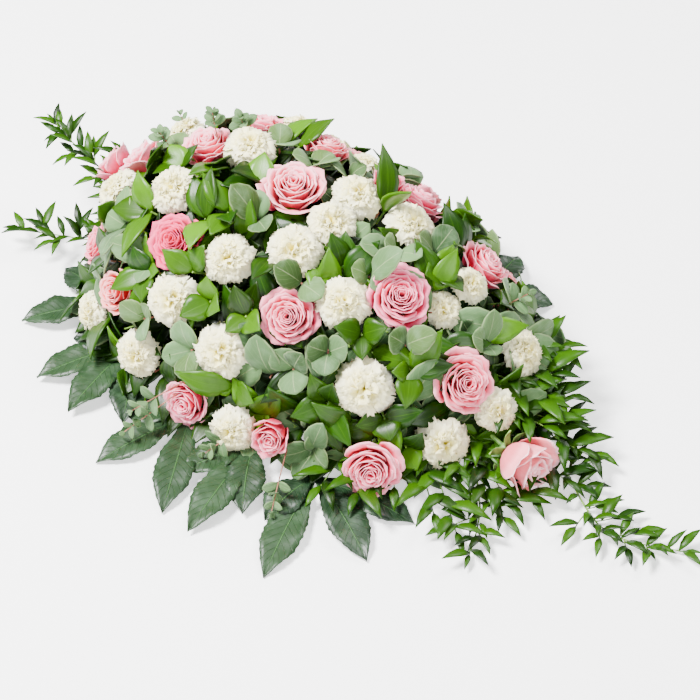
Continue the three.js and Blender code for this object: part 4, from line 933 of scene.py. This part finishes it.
# Every bloom's centre, facing and diameter, and the middles of the leaves placed so far
BLOOM_PLACES = [(spot(entry), bloom_facing(spot(entry)), entry[3])
                for entry in ROSES + CARNATIONS + FAR_ROSES + FAR_CARNATIONS]
LEAF_MIDDLES = []
# Where a leaf is looked at: the share of its length, and the side of its rib; then how far beside the rib
LEAF_PROBES = [(0.25, 0), (0.5, -1), (0.5, 1), (0.75, -0.7), (0.75, 0.7), (1.0, 0)]
PROBE_SIDE = 0.45


def near_bloom(point, room):
    """Whether a point is inside a bloom's head, or less than the room outside it."""
    return any(
        np.linalg.norm(point - (centre - facing * 0.12 * size)) < 0.4 * size + room
        for centre, facing, size in BLOOM_PLACES
    )


def hides_bloom(base, tip, across):
    """Whether a leaf would stand over a bloom, seen along its facing or from the show side."""
    side = across * PROBE_SIDE
    points = [base + (tip - base) * share + side * way for share, way in LEAF_PROBES]
    for centre, facing, size in BLOOM_PLACES:
        for line, share in ((facing, 0.44), (unit(facing + 1.4 * SHOW_SIDE), 0.4)):
            for point in points:
                off = point - centre
                height = off @ line
                if height > -0.1 * size and np.linalg.norm(off - line * height) < share * size:
                    return True
    return False


def shoot_parts(node, masters, shoots, width, depth, seed, youth):
    """The twigs and leaves of a chain of leafy shoots that stands where its solid stands."""
    solids = Solids(node)
    thick = STEM["twig"]
    routes, leaves, forks = [], [], []
    for n, (at, tips, *origin) in enumerate(shoots):
        number = seed + 10 * n
        end = on_mound(spot(at), -SHOOT_DEPTH)
        foot = foot_of(end)
        axis = unit(end - foot)
        fork = fork_on(foot, end, depth)
        past, neck = fork + axis * NODE_LENGTH, end - axis * NODE_LENGTH
        start = foot if n == 0 else forks[origin[0] if origin else n - 1]
        routes.append(([start, *knee_between(solids, start, fork, thick), fork, past], thick, thick))
        routes.append(([past, *knee_between(solids, past, neck, thick), neck, end], thick, TWIG_END))
        forks.append(past)
        places = [(spot(tip), LIFTS, 0.9 + 0.25 * draw(number + k)) for k, tip in enumerate(tips)]
        u, v = across_axes(mound_normal(end), 2 * math.pi * draw(number))
        for k in range(SPARE_LEAVES):
            angle = 2 * math.pi * k / SPARE_LEAVES
            reach = SPARE_REACH * (0.85 + 0.3 * draw(number + k + 1))
            tip = end + u * reach * math.cos(angle) + v * reach * math.sin(angle)
            places.append((tip, SPARE_LIFTS, 0.85 + 0.2 * draw(number + k + 5)))
        for k, (tip, lifts, share) in enumerate(places):
            found = [p for p in (on_mound(tip, lift) for lift in lifts) if solids.has(p)]
            if not found:
                continue
            reach = found[0]
            up = unit(mound_normal(reach) + 0.6 * mound_normal(end))
            base = end - axis * 2 + unit(reach - end) * 1.5
            if k >= len(tips) and hides_bloom(base, reach, unit(np.cross(reach - base, up)) * width):
                reach = base + (reach - base) * TUCKED
                share = share * TUCKED_WIDTH
            pick = seed + 31 * n + k
            tint = (youth * draw(pick) ** 1.5, draw(pick + 7))
            leaves.append(place_leaf(masters, base, reach, up, width * share, tint, pick))
            LEAF_MIDDLES.append((base + reach) / 2)
    return routes, leaves


# Sprigs that fill the mound between the blooms: how deep they end and how far apart, the range of their
# leaves' lengths, of their angles with the twig and of how light they are, and how far apart the leaves stay
FILLING = [
    {"depth": -20, "spacing": 32, "leaves": 5, "length": (46, 62), "angle": (0.8, 1.55), "room": -3,
     "light": (0.3, 1.0), "apart": 15, "seed": 7000},
    # The lower layer's leaves are dark: painted shade under the upper layer.
    {"depth": -50, "spacing": 30, "leaves": 5, "length": (48, 66), "angle": (1.0, 1.7), "room": -60,
     "light": (0.0, 0.12), "apart": 9, "seed": 8000},
]
MOUND_AREA = 3.1e5
FILLING_LOWEST = 12
LEAF_STEP = 9
# A filling leaf of this length has its plant's full width
LEAF_LENGTH = 54
# No filling leaf's tip stands further than this out of the mound, or lower than that over the table
OUTMOST = 20
TIP_LOWEST = 3
# Dark leaves that hang from the rim to the table: ranges of their bases' height and depth, and their length
SKIRT = {"leaves": 110, "height": (14, 48), "depth": (-38, -52), "length": (50, 66), "lowest": 4.0,
         "seed": 9000}
# A filling leaf below this x belongs to the head's plants; then the shares of eucalyptus
HEAD_LINE = -60
EUCALYPTUS_SHARE = {"head": 0.14, "tail": 0.3}
UPWARD = np.array((0.0, 0, 1))


def within(limits, share):
    """The number at a share of the way between two limits."""
    return limits[0] + (limits[1] - limits[0]) * share


def plant_at(point, chance):
    """A filling leaf's plant: ruscus or, less often, eucalyptus, at the head or at the tail."""
    at_head = point[0] < HEAD_LINE
    return (0 if at_head else 1) + (2 if chance < EUCALYPTUS_SHARE["head" if at_head else "tail"] else 0)


def filling_spots(depth, spacing, seed):
    """Points spread evenly over the mound at a depth, each with the mound's outward direction there."""
    spots = []
    count = int(MOUND_AREA / spacing ** 2)
    for k in range(count):
        z = (k + 0.5) / count
        ring = math.sqrt(1 - z * z)
        turn = k * GOLDEN_TURN + 0.6 * draw(seed + k)
        rough = mound_guess(math.cos(turn) * ring, math.sin(turn) * ring, z * MOUND["height"])
        point = on_mound(rough, depth)
        if point[2] > FILLING_LOWEST:
            spots.append((k, point, mound_normal(point)))
    return spots


def filling_sprigs(twigs, leaves):
    """Adds the filling sprigs' twigs and leaves to the lists of the plants that they belong to."""
    for layer in FILLING:
        seed = layer["seed"]
        for k, point, out in filling_spots(layer["depth"], layer["spacing"], seed):
            if near_bloom(point, layer["room"]):
                continue
            which = plant_at(point, draw(seed + 3 * k))
            masters, width, youth = filling_leaves[which]
            foot = foot_of(point)
            twigs[which].append(([foot, point], *TAPER["filling"]))
            axis = unit(out + unit(point - foot))
            u, v = across_axes(axis, FULL_TURN * draw(seed + 5 * k))
            for j in range(layer["leaves"]):
                number = seed + 17 * k + j
                spread = within(layer["angle"], draw(number + 2))
                turn = GOLDEN_TURN * j + 0.7 * draw(number)
                way = axis * math.cos(spread) + (u * math.cos(turn) + v * math.sin(turn)) * math.sin(spread)
                length = within(layer["length"], draw(number + 1))
                base = point - axis * LEAF_STEP * (j % 3)
                tip = base + way * length
                middle = (base + tip) / 2
                if (tip[2] < TIP_LOWEST or mound_value(tip, OUTMOST) > 0
                        or hides_bloom(base, tip, unit(np.cross(way, axis)) * width)
                        or any(np.linalg.norm(middle - other) < layer["apart"] for other in LEAF_MIDDLES)):
                    continue
                LEAF_MIDDLES.append(middle)
                # A leaf's lightness: drawn at random in the upper layer, and kept low in the lower layer as
                # painted shade.
                light = within(layer["light"], draw(number + 5))
                tint = (youth * light * draw(number + 4) ** 2, light)
                tilt = np.array([draw(number + i) - 0.5 for i in (7, 8, 9)])
                up = unit(axis * 1.3 + SHOW_SIDE * 0.5 + tilt)
                share = length / LEAF_LENGTH * (0.9 + 0.2 * draw(number + 6))
                leaves[which].append(place_leaf(masters, base, tip, up, width * share, tint, number))


def skirt_leaves(leaves):
    """Adds the rim's dark leaves to the lists of the plants that they belong to."""
    for k in range(SKIRT["leaves"]):
        number = SKIRT["seed"] + 13 * k
        angle = 2 * math.pi * (k + 0.8 * draw(number)) / SKIRT["leaves"]
        rough = mound_guess(math.cos(angle), math.sin(angle), within(SKIRT["height"], draw(number + 1)))
        base = on_mound(rough, within(SKIRT["depth"], draw(number + 2)))
        out = unit(mound_normal(base) * (1, 1, 0))
        way = unit(out + np.array((-out[1], out[0], 0)) * 1.2 * (draw(number + 3) - 0.5))
        tip = base + way * within(SKIRT["length"], draw(number + 4))
        tip[2] = max(SKIRT["lowest"], base[2] * 0.4)
        which = plant_at(base, draw(number + 5))
        masters, width, _ = filling_leaves[which]
        if not hides_bloom(base, tip, np.cross(way, UPWARD) * width):
            tint = (0.1 * draw(number + 6), 0.1 + 0.4 * draw(number + 7))
            leaves[which].append(place_leaf(masters, base, tip, UPWARD, width, tint, number))


# Thin eucalyptus tips that stand out past the leaves, at the head and at the tail: from inside to the tip
TIP_SPRIGS = (
    [((-199, 21, 195), (-213, 29, 225)), ((-250, 1, 165), (-262, -7, 197)),
     ((-183, 50, 192), (-183, 42, 223)), ((-85, -205, 50), (-113, -264, 22)),
     ((-80, -200, 66), (-112, -250, 44)), ((-268, 60, 120), (-300, 74, 150))],
    [((52, -190, 34), (82, -257, 16)), ((-8, -190, 32), (-24, -236, 20)),
     ((66, 104, 120), (70, 135, 140)), ((150, 60, 100), (178, 80, 126))],
)
TIP_LEAF = {"pairs": 4, "step": 0.15, "length": 10.0, "growth": 3.2, "slim": 0.66, "lowest": 3.0}
TIP_SEED = 9900


def tip_sprig(start, end, number):
    """One thin twig with small leaves in pairs, each pair turned across the last."""
    heading = unit(end - start)
    axes = across_axes(heading, 2 * math.pi * draw(number))
    leaves = []
    for k in range(TIP_LEAF["pairs"]):
        base = end + (start - end) * TIP_LEAF["step"] * k
        length = TIP_LEAF["length"] + TIP_LEAF["growth"] * k
        for j, way in enumerate((axes[k % 2], -axes[k % 2])):
            grown = length * (0.85 + 0.3 * draw(number + 2 * k + j))
            tip = base + unit(heading * (0.9 - 0.15 * k) + way) * grown
            tip[2] = max(tip[2], TIP_LEAF["lowest"])
            tint = (0.2 * draw(number + k), 0.5 + 0.5 * draw(number + 5 + k))
            leaves.append(place_leaf(eucalyptus_masters, base, tip, unit(SHOW_SIDE + heading),
                                     length * TIP_LEAF["slim"], tint, number + k))
    return ([start, (start + end) / 2 + axes[0] * 2.0, end], *TAPER["tip"]), leaves


# More trailing twigs under the tail's and the head's blooms, each from near the foam to its tip
TAIL_TWIGS = [
    ((110, 40, 40), (227, 84, 70)), ((120, 30, 40), (240, 112, 56)), ((130, 20, 40), (262, 61, 62)),
    ((130, 10, 40), (288, 50, 46)), ((130, 0, 36), (276, 22, 56)), ((140, -10, 34), (306, 20, 38)),
    ((130, 0, 40), (292, -11, 46)), ((140, 0, 34), (330, 1, 22)), ((140, 10, 34), (344, 14, 14)),
    ((120, 10, 46), (242, 10, 78)), ((130, 0, 40), (246, -24, 56)), ((130, -20, 34), (252, -71, 20)),
    ((140, -10, 34), (308, -47, 14)), ((150, 0, 30), (337, -43, 10)), ((150, 0, 30), (318, -92, 8)),
    ((130, -20, 34), (305, -112, 8)), ((130, -20, 34), (285, -122, 8)),
    ((120, -30, 34), (241, -116, 22)), ((110, -40, 30), (276, -182, 5)), ((110, -50, 30), (242, -178, 8)),
    ((100, -60, 30), (185, -179, 12)), ((100, -60, 30), (150, -214, 14)), ((90, -60, 30), (104, -228, 10)),
    ((100, 50, 34), (168, 136, 36)), ((90, 50, 34), (120, 176, 22)), ((110, 40, 34), (214, 132, 30)),
]
HEAD_TWIGS = [
    ((-220, 20, 40), (-330, 70, 100)), ((-230, 10, 40), (-356, 30, 70)), ((-240, 0, 40), (-346, 6, 50)),
    ((-240, -10, 40), (-350, -34, 40)), ((-240, 0, 40), (-380, 16, 90)),
    ((-220, 20, 40), (-352, 44, 86)), ((-220, 10, 40), (-368, 24, 112)), ((-230, 0, 40), (-360, -10, 84)),
    ((-220, -10, 36), (-344, -60, 50)), ((-220, 30, 40), (-336, 66, 60)), ((-230, 0, 40), (-376, 0, 64)),
    ((-220, 0, 40), (-346, -30, 66)), ((-220, 20, 40), (-340, 40, 40)),
]


# The trailing leaves: the last one's length on a twig, the ranges of the others' lengths and rises, and the
# width of a leaf of length 1; then a twig's bow, how low a tip may lie, and how it grows where it is extra
TRAIL_LEAF = {"last": 32, "length": (25, 36), "rise": (3, 12), "stem_rise": (2, 14), "slim": 0.26,
              "wide": 0.08}
TRAIL_BOW = 1.5
TRAIL_LOWEST = 2.0
EXTRA_STEP = 14
EXTRA_SIZE = 1.5


def fan(way, turn):
    """A direction turned in the flat from a way, to either side."""
    return way * math.cos(turn) + unit(np.cross(way, UPWARD)) * math.sin(turn)


def on_route(route, place):
    """The point at a place on a route, counted in its knots, and the step from the knot before it."""
    i = int(place)
    step = route[i + 1] - route[i]
    return route[i] + step * (place - i), step


def trail_piece(name, node, stems, seed, extra):
    """Trailing stems with a narrow leaf at each side in turn."""
    solids = Solids(node)
    routes, leaves = [], []

    def put_leaf(base, tip, number):
        tip = np.array((tip[0], tip[1], max(tip[2], TRAIL_LOWEST)))
        width = np.linalg.norm(tip - base) * (TRAIL_LEAF["slim"] + TRAIL_LEAF["wide"] * draw(number + 3))
        tint = (0.7 * draw(number), draw(number + 1))
        leaves.append(place_leaf(trail_masters, base, tip, UPWARD, width, tint, number))

    def grow_twig(start, end, number, step=11, size=1.0):
        reach = np.linalg.norm(end - start)
        heading = (end - start) / reach
        last = start + heading * max(reach - TRAIL_LEAF["last"], reach * 0.3)
        bow = unit(np.cross(heading, UPWARD)) * TRAIL_BOW
        routes.append(([start, (start + last) / 2 + bow, last], *TAPER["trail_twig"]))
        put_leaf(last, end, number)
        count = max(2, int(np.linalg.norm(last - start) / step))
        for k in range(count):
            base = start + (last - start) * ((k + 0.6) / (count + 0.1))
            turn = (0.6 + 0.35 * draw(number + 11 * k)) * (1 if k % 2 else -1)
            length = within(TRAIL_LEAF["length"], draw(number + 5 + k)) * size
            rise = UPWARD * within(TRAIL_LEAF["rise"], draw(number + 9 + k))
            put_leaf(base, base + fan(heading, turn) * length + rise, number + k + 1)

    for k, (start, end) in enumerate(extra):
        grow_twig(spot(start), spot(end), seed + 900 + 23 * k, EXTRA_STEP, EXTRA_SIZE)
    for n, (stem, twigs) in enumerate(stems):
        route = [spot(p) for p in stem]
        routes.append((route, *TAPER["branch" if n else "trail"]))
        number = seed + 400 * n
        for place, to in [*twigs, (len(route) - 1.001, tuple(route[-1] * 1.7 - route[-2] * 0.7))]:
            found = [spot((to[0], to[1], max(1, to[2] + lift))) for lift in TIP_LIFTS]
            end = next((p for p in found if solids.has(p)), found[0])
            grow_twig(on_route(route, place)[0], end, number)
            number += 20
        count = len(route) * 3
        for k in range(count):
            place = 1.6 + (len(route) - 2.7) * ((k + draw(number + k)) / count) ** 1.3
            base, way = on_route(route, place)
            turn = (0.5 + 0.5 * draw(number + 7 * k)) * (1 if k % 2 else -1)
            length = (36 - 12 * (place / len(route))) * (0.8 + 0.3 * draw(number + 3 * k))
            tip = base + fan(unit(way), turn) * length
            put_leaf(base, tip + UPWARD * within(TRAIL_LEAF["stem_rise"], draw(number + 5 * k)), number + k)
    return join(name, [tubes(name + "_stems", routes, ruscus_twig, 0), *leaves])


# Half the width of an aralia lobe, in millimetres, at places along it
ARALIA_HALF = [(0, 2), (0.12, 5), (0.3, 13), (0.45, 19), (0.6, 21.5), (0.74, 19), (0.87, 11), (1, 0.2)]
LOBE_STEPS = 30
LOBE_LOWEST = 0.9
# Where an aralia stalk may stand in the foam, and where it passes over the tray's rim
STALK = {"min_x": FOAM["mid_x"] - 150, "max_x": FOAM["mid_x"] + 140, "foot_y": 36, "foot_z": 36.0,
         "rim_y": 70, "rim_z": 31.5}


def aralia_lobe(hub, tip, level, seed):
    """One long lobe with a toothed, waving edge, from the hub to its tip on the table."""
    blade, u, v = new_sheet(6, LOBE_STEPS)
    off = np.abs(u)
    half = np.interp(v, *zip(*ARALIA_HALF))
    row = np.round(v * LOBE_STEPS)
    half = half * np.where((off > 0.9) & (row % 2 == 0), 1.06, 1.0)
    start = np.array((*hub, 0.0))
    along = np.array((*tip, 0.0)) - start
    length = np.linalg.norm(along)
    along = along / length
    side = np.array((-along[1], along[0], 0.0))
    sway = 5 * (draw(seed) - 0.5) * np.sin(math.pi * v)
    wave = 1.6 * np.sin(7 * math.pi * v + FULL_TURN * draw(seed + 1) + 1.5 * np.sign(u)) * off ** 1.5
    bulge = 0.9 * np.abs(np.sin(11 * math.pi * (v - 0.3 * off))) * smooth(0.0, 0.3, off) * (1 - off ** 4)
    z = level + 1.4 + 7 * np.sin(math.pi * np.clip(v * 0.95, 0, 1)) * (1 - 0.3 * v) + 2.4 * off - 1.2 * v
    z = np.maximum(z + (wave + bulge) * smooth(0.05, 0.3, v) - 2.5 * smooth(0.85, 1, v), LOBE_LOWEST)
    points = start + np.outer(v * length, along) + np.outer(u * half + sway, side)
    points[:, 2] = z
    set_points(blade, to_model(points))
    alone(blade)
    bpy.ops.object.mode_set(mode="EDIT")
    bpy.ops.mesh.select_all(action="SELECT")
    bpy.ops.mesh.remove_doubles(threshold=0.0002)
    bpy.ops.object.mode_set(mode="OBJECT")
    bake_modifier(blade, "SOLIDIFY", thickness=0.0009, offset=0.0)
    mark(blade, "tint", (0, draw(seed + 2), 0))
    blade.data.materials.append(aralia_finish)
    bpy.ops.object.shade_smooth()
    return blade


def aralia_piece(n, hub, tips, level):
    lobes = [aralia_lobe(hub, tip, level + 1.6 * (k % 2), 3000 + 10 * n + k) for k, tip in enumerate(tips)]
    foot_x = min(max(HUB[0] + 0.6 * (hub[0] - HUB[0]), STALK["min_x"]), STALK["max_x"])
    foot = np.array((foot_x, math.copysign(STALK["foot_y"], hub[1]), STALK["foot_z"]))
    centre = np.array((*hub, level + 2.6))
    over = foot + (centre - foot) * (STALK["rim_y"] - abs(foot[1])) / (abs(centre[1]) - abs(foot[1]))
    over[2] = STALK["rim_z"]
    stalk = tubes(f"aralia_stalk_{n}", [([foot, over, centre], *TAPER["stalk"])], green)
    return join(f"aralia_spread_{n}", [*lobes, stalk])


green = grained_finish(
    "stem_green", 0.4, ("3f6b2c", "7ba24d"), grain=(160, (1, 1, 0.2)), roughness=(0.45, 0.15, 0),
    bump=(0.3, 0.0004), spots=("8e8f4a", 0.55, 0.8, 0.4, 40),
)
eucalyptus_twig, ruscus_twig = (
    grained_finish(name, 0.35, colours, grain=(120, (1, 1, 0.3)), roughness=(0.5, 0.2, 0), bump=(0.4, 0.0004))
    for name, colours in (("eucalyptus_twig", ("6e3b2c", "a9705a")), ("ruscus_twig", ("3c5f22", "769a3e")))
)
aralia_finish = aralia_leaf_finish()

bloom_masters = {
    kind: {name: model_bloom(kind, name, form, petal_finish, green) for name, form in forms.items()}
    for kind, forms, petal_finish in (("rose", ROSE_FORMS, rose_petal_finish()),
                                      ("carnation", CARNATION_FORMS, carnation_petal_finish()))
}
ruscus_finish = ruscus_leaf_finish("ruscus_leaf", "061400", "143800", "4e8000", 0.05)
trail_finish = ruscus_leaf_finish("trailing_leaf", "041200", "0e2e00", "346000", 0.06)
ruscus_masters = blades("ruscus", RUSCUS_ROWS, ruscus_finish,
                        [(0.07, 0.09, 0.05), (0.03, 0.14, -0.08), (0.1, 0.05, 0.1)])
eucalyptus_masters = blades("eucalyptus", EUCALYPTUS_ROWS, eucalyptus_leaf_finish(),
                            [(0.05, 0.06, 0.04), (0.09, 0.1, -0.06), (0.02, 0.12, 0.1)])
trail_masters = blades("trail", TRAIL_ROWS, trail_finish, [(0.1, 0.08), (0.06, 0.14)], across=2)

made = []
for n, (entry, looks) in enumerate(zip(ROSES, ROSE_LOOKS)):
    piece = bloom_piece(f"pink_rose_{n + 1:02d}", "rose", entry, n, *looks)
    made.append((piece, f"rose_{n + 1:02d}", "rose_petal"))
for n, entry in enumerate(CARNATIONS):
    form = list(CARNATION_FORMS)[n % len(CARNATION_FORMS)]
    piece = bloom_piece(f"cream_carnation_{n + 1:02d}", "carnation", entry, n, form, 0, 0)
    made.append((piece, f"carnation_{n + 1:02d}", "carnation_petal"))
for kind, entries, seed, depth in (("rose", FAR_ROSES, 40, 0.6), ("carnation", FAR_CARNATIONS, 50, 0.5)):
    node = f"{kind}s_far_side"
    made.append((far_group(f"far_{kind}s", node, kind, entries, seed, depth), node, f"{kind}_petal"))
for n, entry in enumerate(ARALIA, 1):
    made.append((aralia_piece(n, *entry), f"aralia_leaf_{n}", "aralia_leaf"))
for end, node, stems, seed, extra in (("tail", "trailing_ruscus_right", TRAIL_RIGHT, 5000, TAIL_TWIGS),
                                      ("head", "trailing_ruscus_left", TRAIL_LEFT, 6000, HEAD_TWIGS)):
    made.append((trail_piece(f"trailing_ruscus_{end}", node, stems, seed, extra), node, "trailing_leaf"))

# Each plant's piece, node and slot, its twigs' finish, its leaves, the width and the youth of its filling
# leaves, and its shoots with their leaves' width, the depth of their forks, their seed and their youth
PLANTS = (
    ("ruscus_shoots_head", "ruscus_left", "ruscus_leaf", ruscus_twig, ruscus_masters, (29, 0.9),
     (RUSCUS_LEFT, 29, 0.58, 400, 0.9)),
    ("ruscus_shoots_tail", "ruscus_right", "ruscus_leaf", ruscus_twig, ruscus_masters, (29, 0.9),
     (RUSCUS_RIGHT + RUSCUS_FAR[::-1], 29, 0.6, 600, 0.7)),
    ("eucalyptus_shoots_head", "eucalyptus_left", "eucalyptus_leaf", eucalyptus_twig, eucalyptus_masters,
     (33, 0.5), (EUCALYPTUS_LEFT, 31, 0.5, 800, 0.8)),
    ("eucalyptus_shoots_tail", "eucalyptus_right", "eucalyptus_leaf", eucalyptus_twig, eucalyptus_masters,
     (33, 0.5), (EUCALYPTUS_RIGHT + EUCALYPTUS_FAR[::-1], 31, 0.46, 900, 0.8)),
)
filling_leaves = [(masters, *filling) for *_, masters, filling, _ in PLANTS]
twigs, leaves = zip(*(shoot_parts(node, masters, *shoots) for _, node, _, _, masters, _, shoots in PLANTS))
filling_sprigs(twigs, leaves)
skirt_leaves(leaves)
for k, sprigs in enumerate(TIP_SPRIGS):
    for j, (start, end) in enumerate(sprigs):
        route, small_leaves = tip_sprig(spot(start), spot(end), TIP_SEED + 40 * k + 7 * j)
        twigs[2 + k].append(route)
        leaves[2 + k].extend(small_leaves)
for (name, node, slot, twig_finish, *_), routes, placed in zip(PLANTS, twigs, leaves):
    made.append((join(name, [tubes(name + "_twigs", routes, twig_finish), *placed]), node, slot))

for master in (*bloom_masters["rose"].values(), *bloom_masters["carnation"].values(), *ruscus_masters,
               *eucalyptus_masters, *trail_masters):
    bpy.data.objects.remove(master)

for piece, node, slot in made:
    piece.data.polygons.foreach_set("use_smooth", [True] * len(piece.data.polygons))
    rest_on_table(piece)
    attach(piece, "root")
    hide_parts(node)

foam_finish = grained_finish(
    "soaked_foam", 0.2, ("23402a", "4a6b45"), grain=(900, (1, 1, 1), 4.0), roughness=(0.95, 0, -0.25),
    bump=(0.8, 0.0006), spots=("1b3322", 0.45, 0.7, 0.6, 24),
)
tray_finish = grained_finish(
    "moulded_tray", 0.45, ("1d4430", "1d4430"), grain=(1400, (1, 1, 1), 2.0), roughness=(0.36, 0, 0.25),
    bump=(0.3, 0.0002), spots=("3a6247", 0.55, 0.8, 0.6, 70, (1, 1, 6), 4.0),
)
for node, finish in (("foam_block", foam_finish), ("spray_tray", tray_finish)):
    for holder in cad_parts[node].material_slots:
        holder.material = finish

bpy.ops.object.select_all(action="DESELECT")
bpy.ops.mesh.primitive_plane_add(size=12, location=(0, 0, -0.0005))
floor = bpy.context.object
floor.name = "pale_floor"
floor.data.materials.append(floor_finish())

AZIMUTH, ELEVATION, DISTANCE = math.radians(36), math.radians(45), 2.6
# Photograph's pixels for each unit of the picture plane at a distance of one
FOCAL_PIXELS = 0.88 * 2600
PICTURE_PIXELS = 700
SENSOR = 36
# The photograph's middle lies this far, in metres, to the left of the spray's
MIDDLE_SHIFT = 0.00227
outward = np.array((math.sin(AZIMUTH), -math.cos(AZIMUTH), 0))
back = outward * math.cos(ELEVATION) + UPWARD * math.sin(ELEVATION)
right = np.array((math.cos(AZIMUTH), math.sin(AZIMUTH), 0))


def set_up(name, data, place, view):
    """Stands a camera or a lamp at a place, to look along a direction."""
    thing = bpy.data.objects.new(name, data)
    thing.location = place
    thing.rotation_mode = "QUATERNION"
    thing.rotation_quaternion = Vector(view).to_track_quat("-Z", "Y")
    bpy.context.scene.collection.objects.link(thing)
    return thing


camera = set_up("camera", bpy.data.cameras.new("camera"),
                Vector(to_model((0, 0, 0)) - right * MIDDLE_SHIFT + back * DISTANCE), -back)
camera.data.sensor_width = SENSOR
camera.data.lens = SENSOR * FOCAL_PIXELS / PICTURE_PIXELS
bpy.context.scene.camera = camera

# Each lamp's place in metres, its width and its power in watts
LAMPS = {"key_light": ((-1.2, -0.9, 2.6), 1.1, 410), "fill_light": ((2.2, -1.8, 2.0), 2.0, 110),
         "back_light": ((0.3, 2.2, 2.4), 1.6, 110)}
for name, (place, size, power) in LAMPS.items():
    lamp = set_up(name, bpy.data.lights.new(name, "AREA"), place, -Vector(place)).data
    lamp.shape = "DISK"
    lamp.size = size
    lamp.energy = power

world = bpy.data.worlds.new("studio")
world.use_nodes = True
backdrop = world.node_tree.nodes["Background"].inputs
backdrop["Color"].default_value = (1, 1, 1, 1)
backdrop["Strength"].default_value = 0.2
bpy.context.scene.world = world
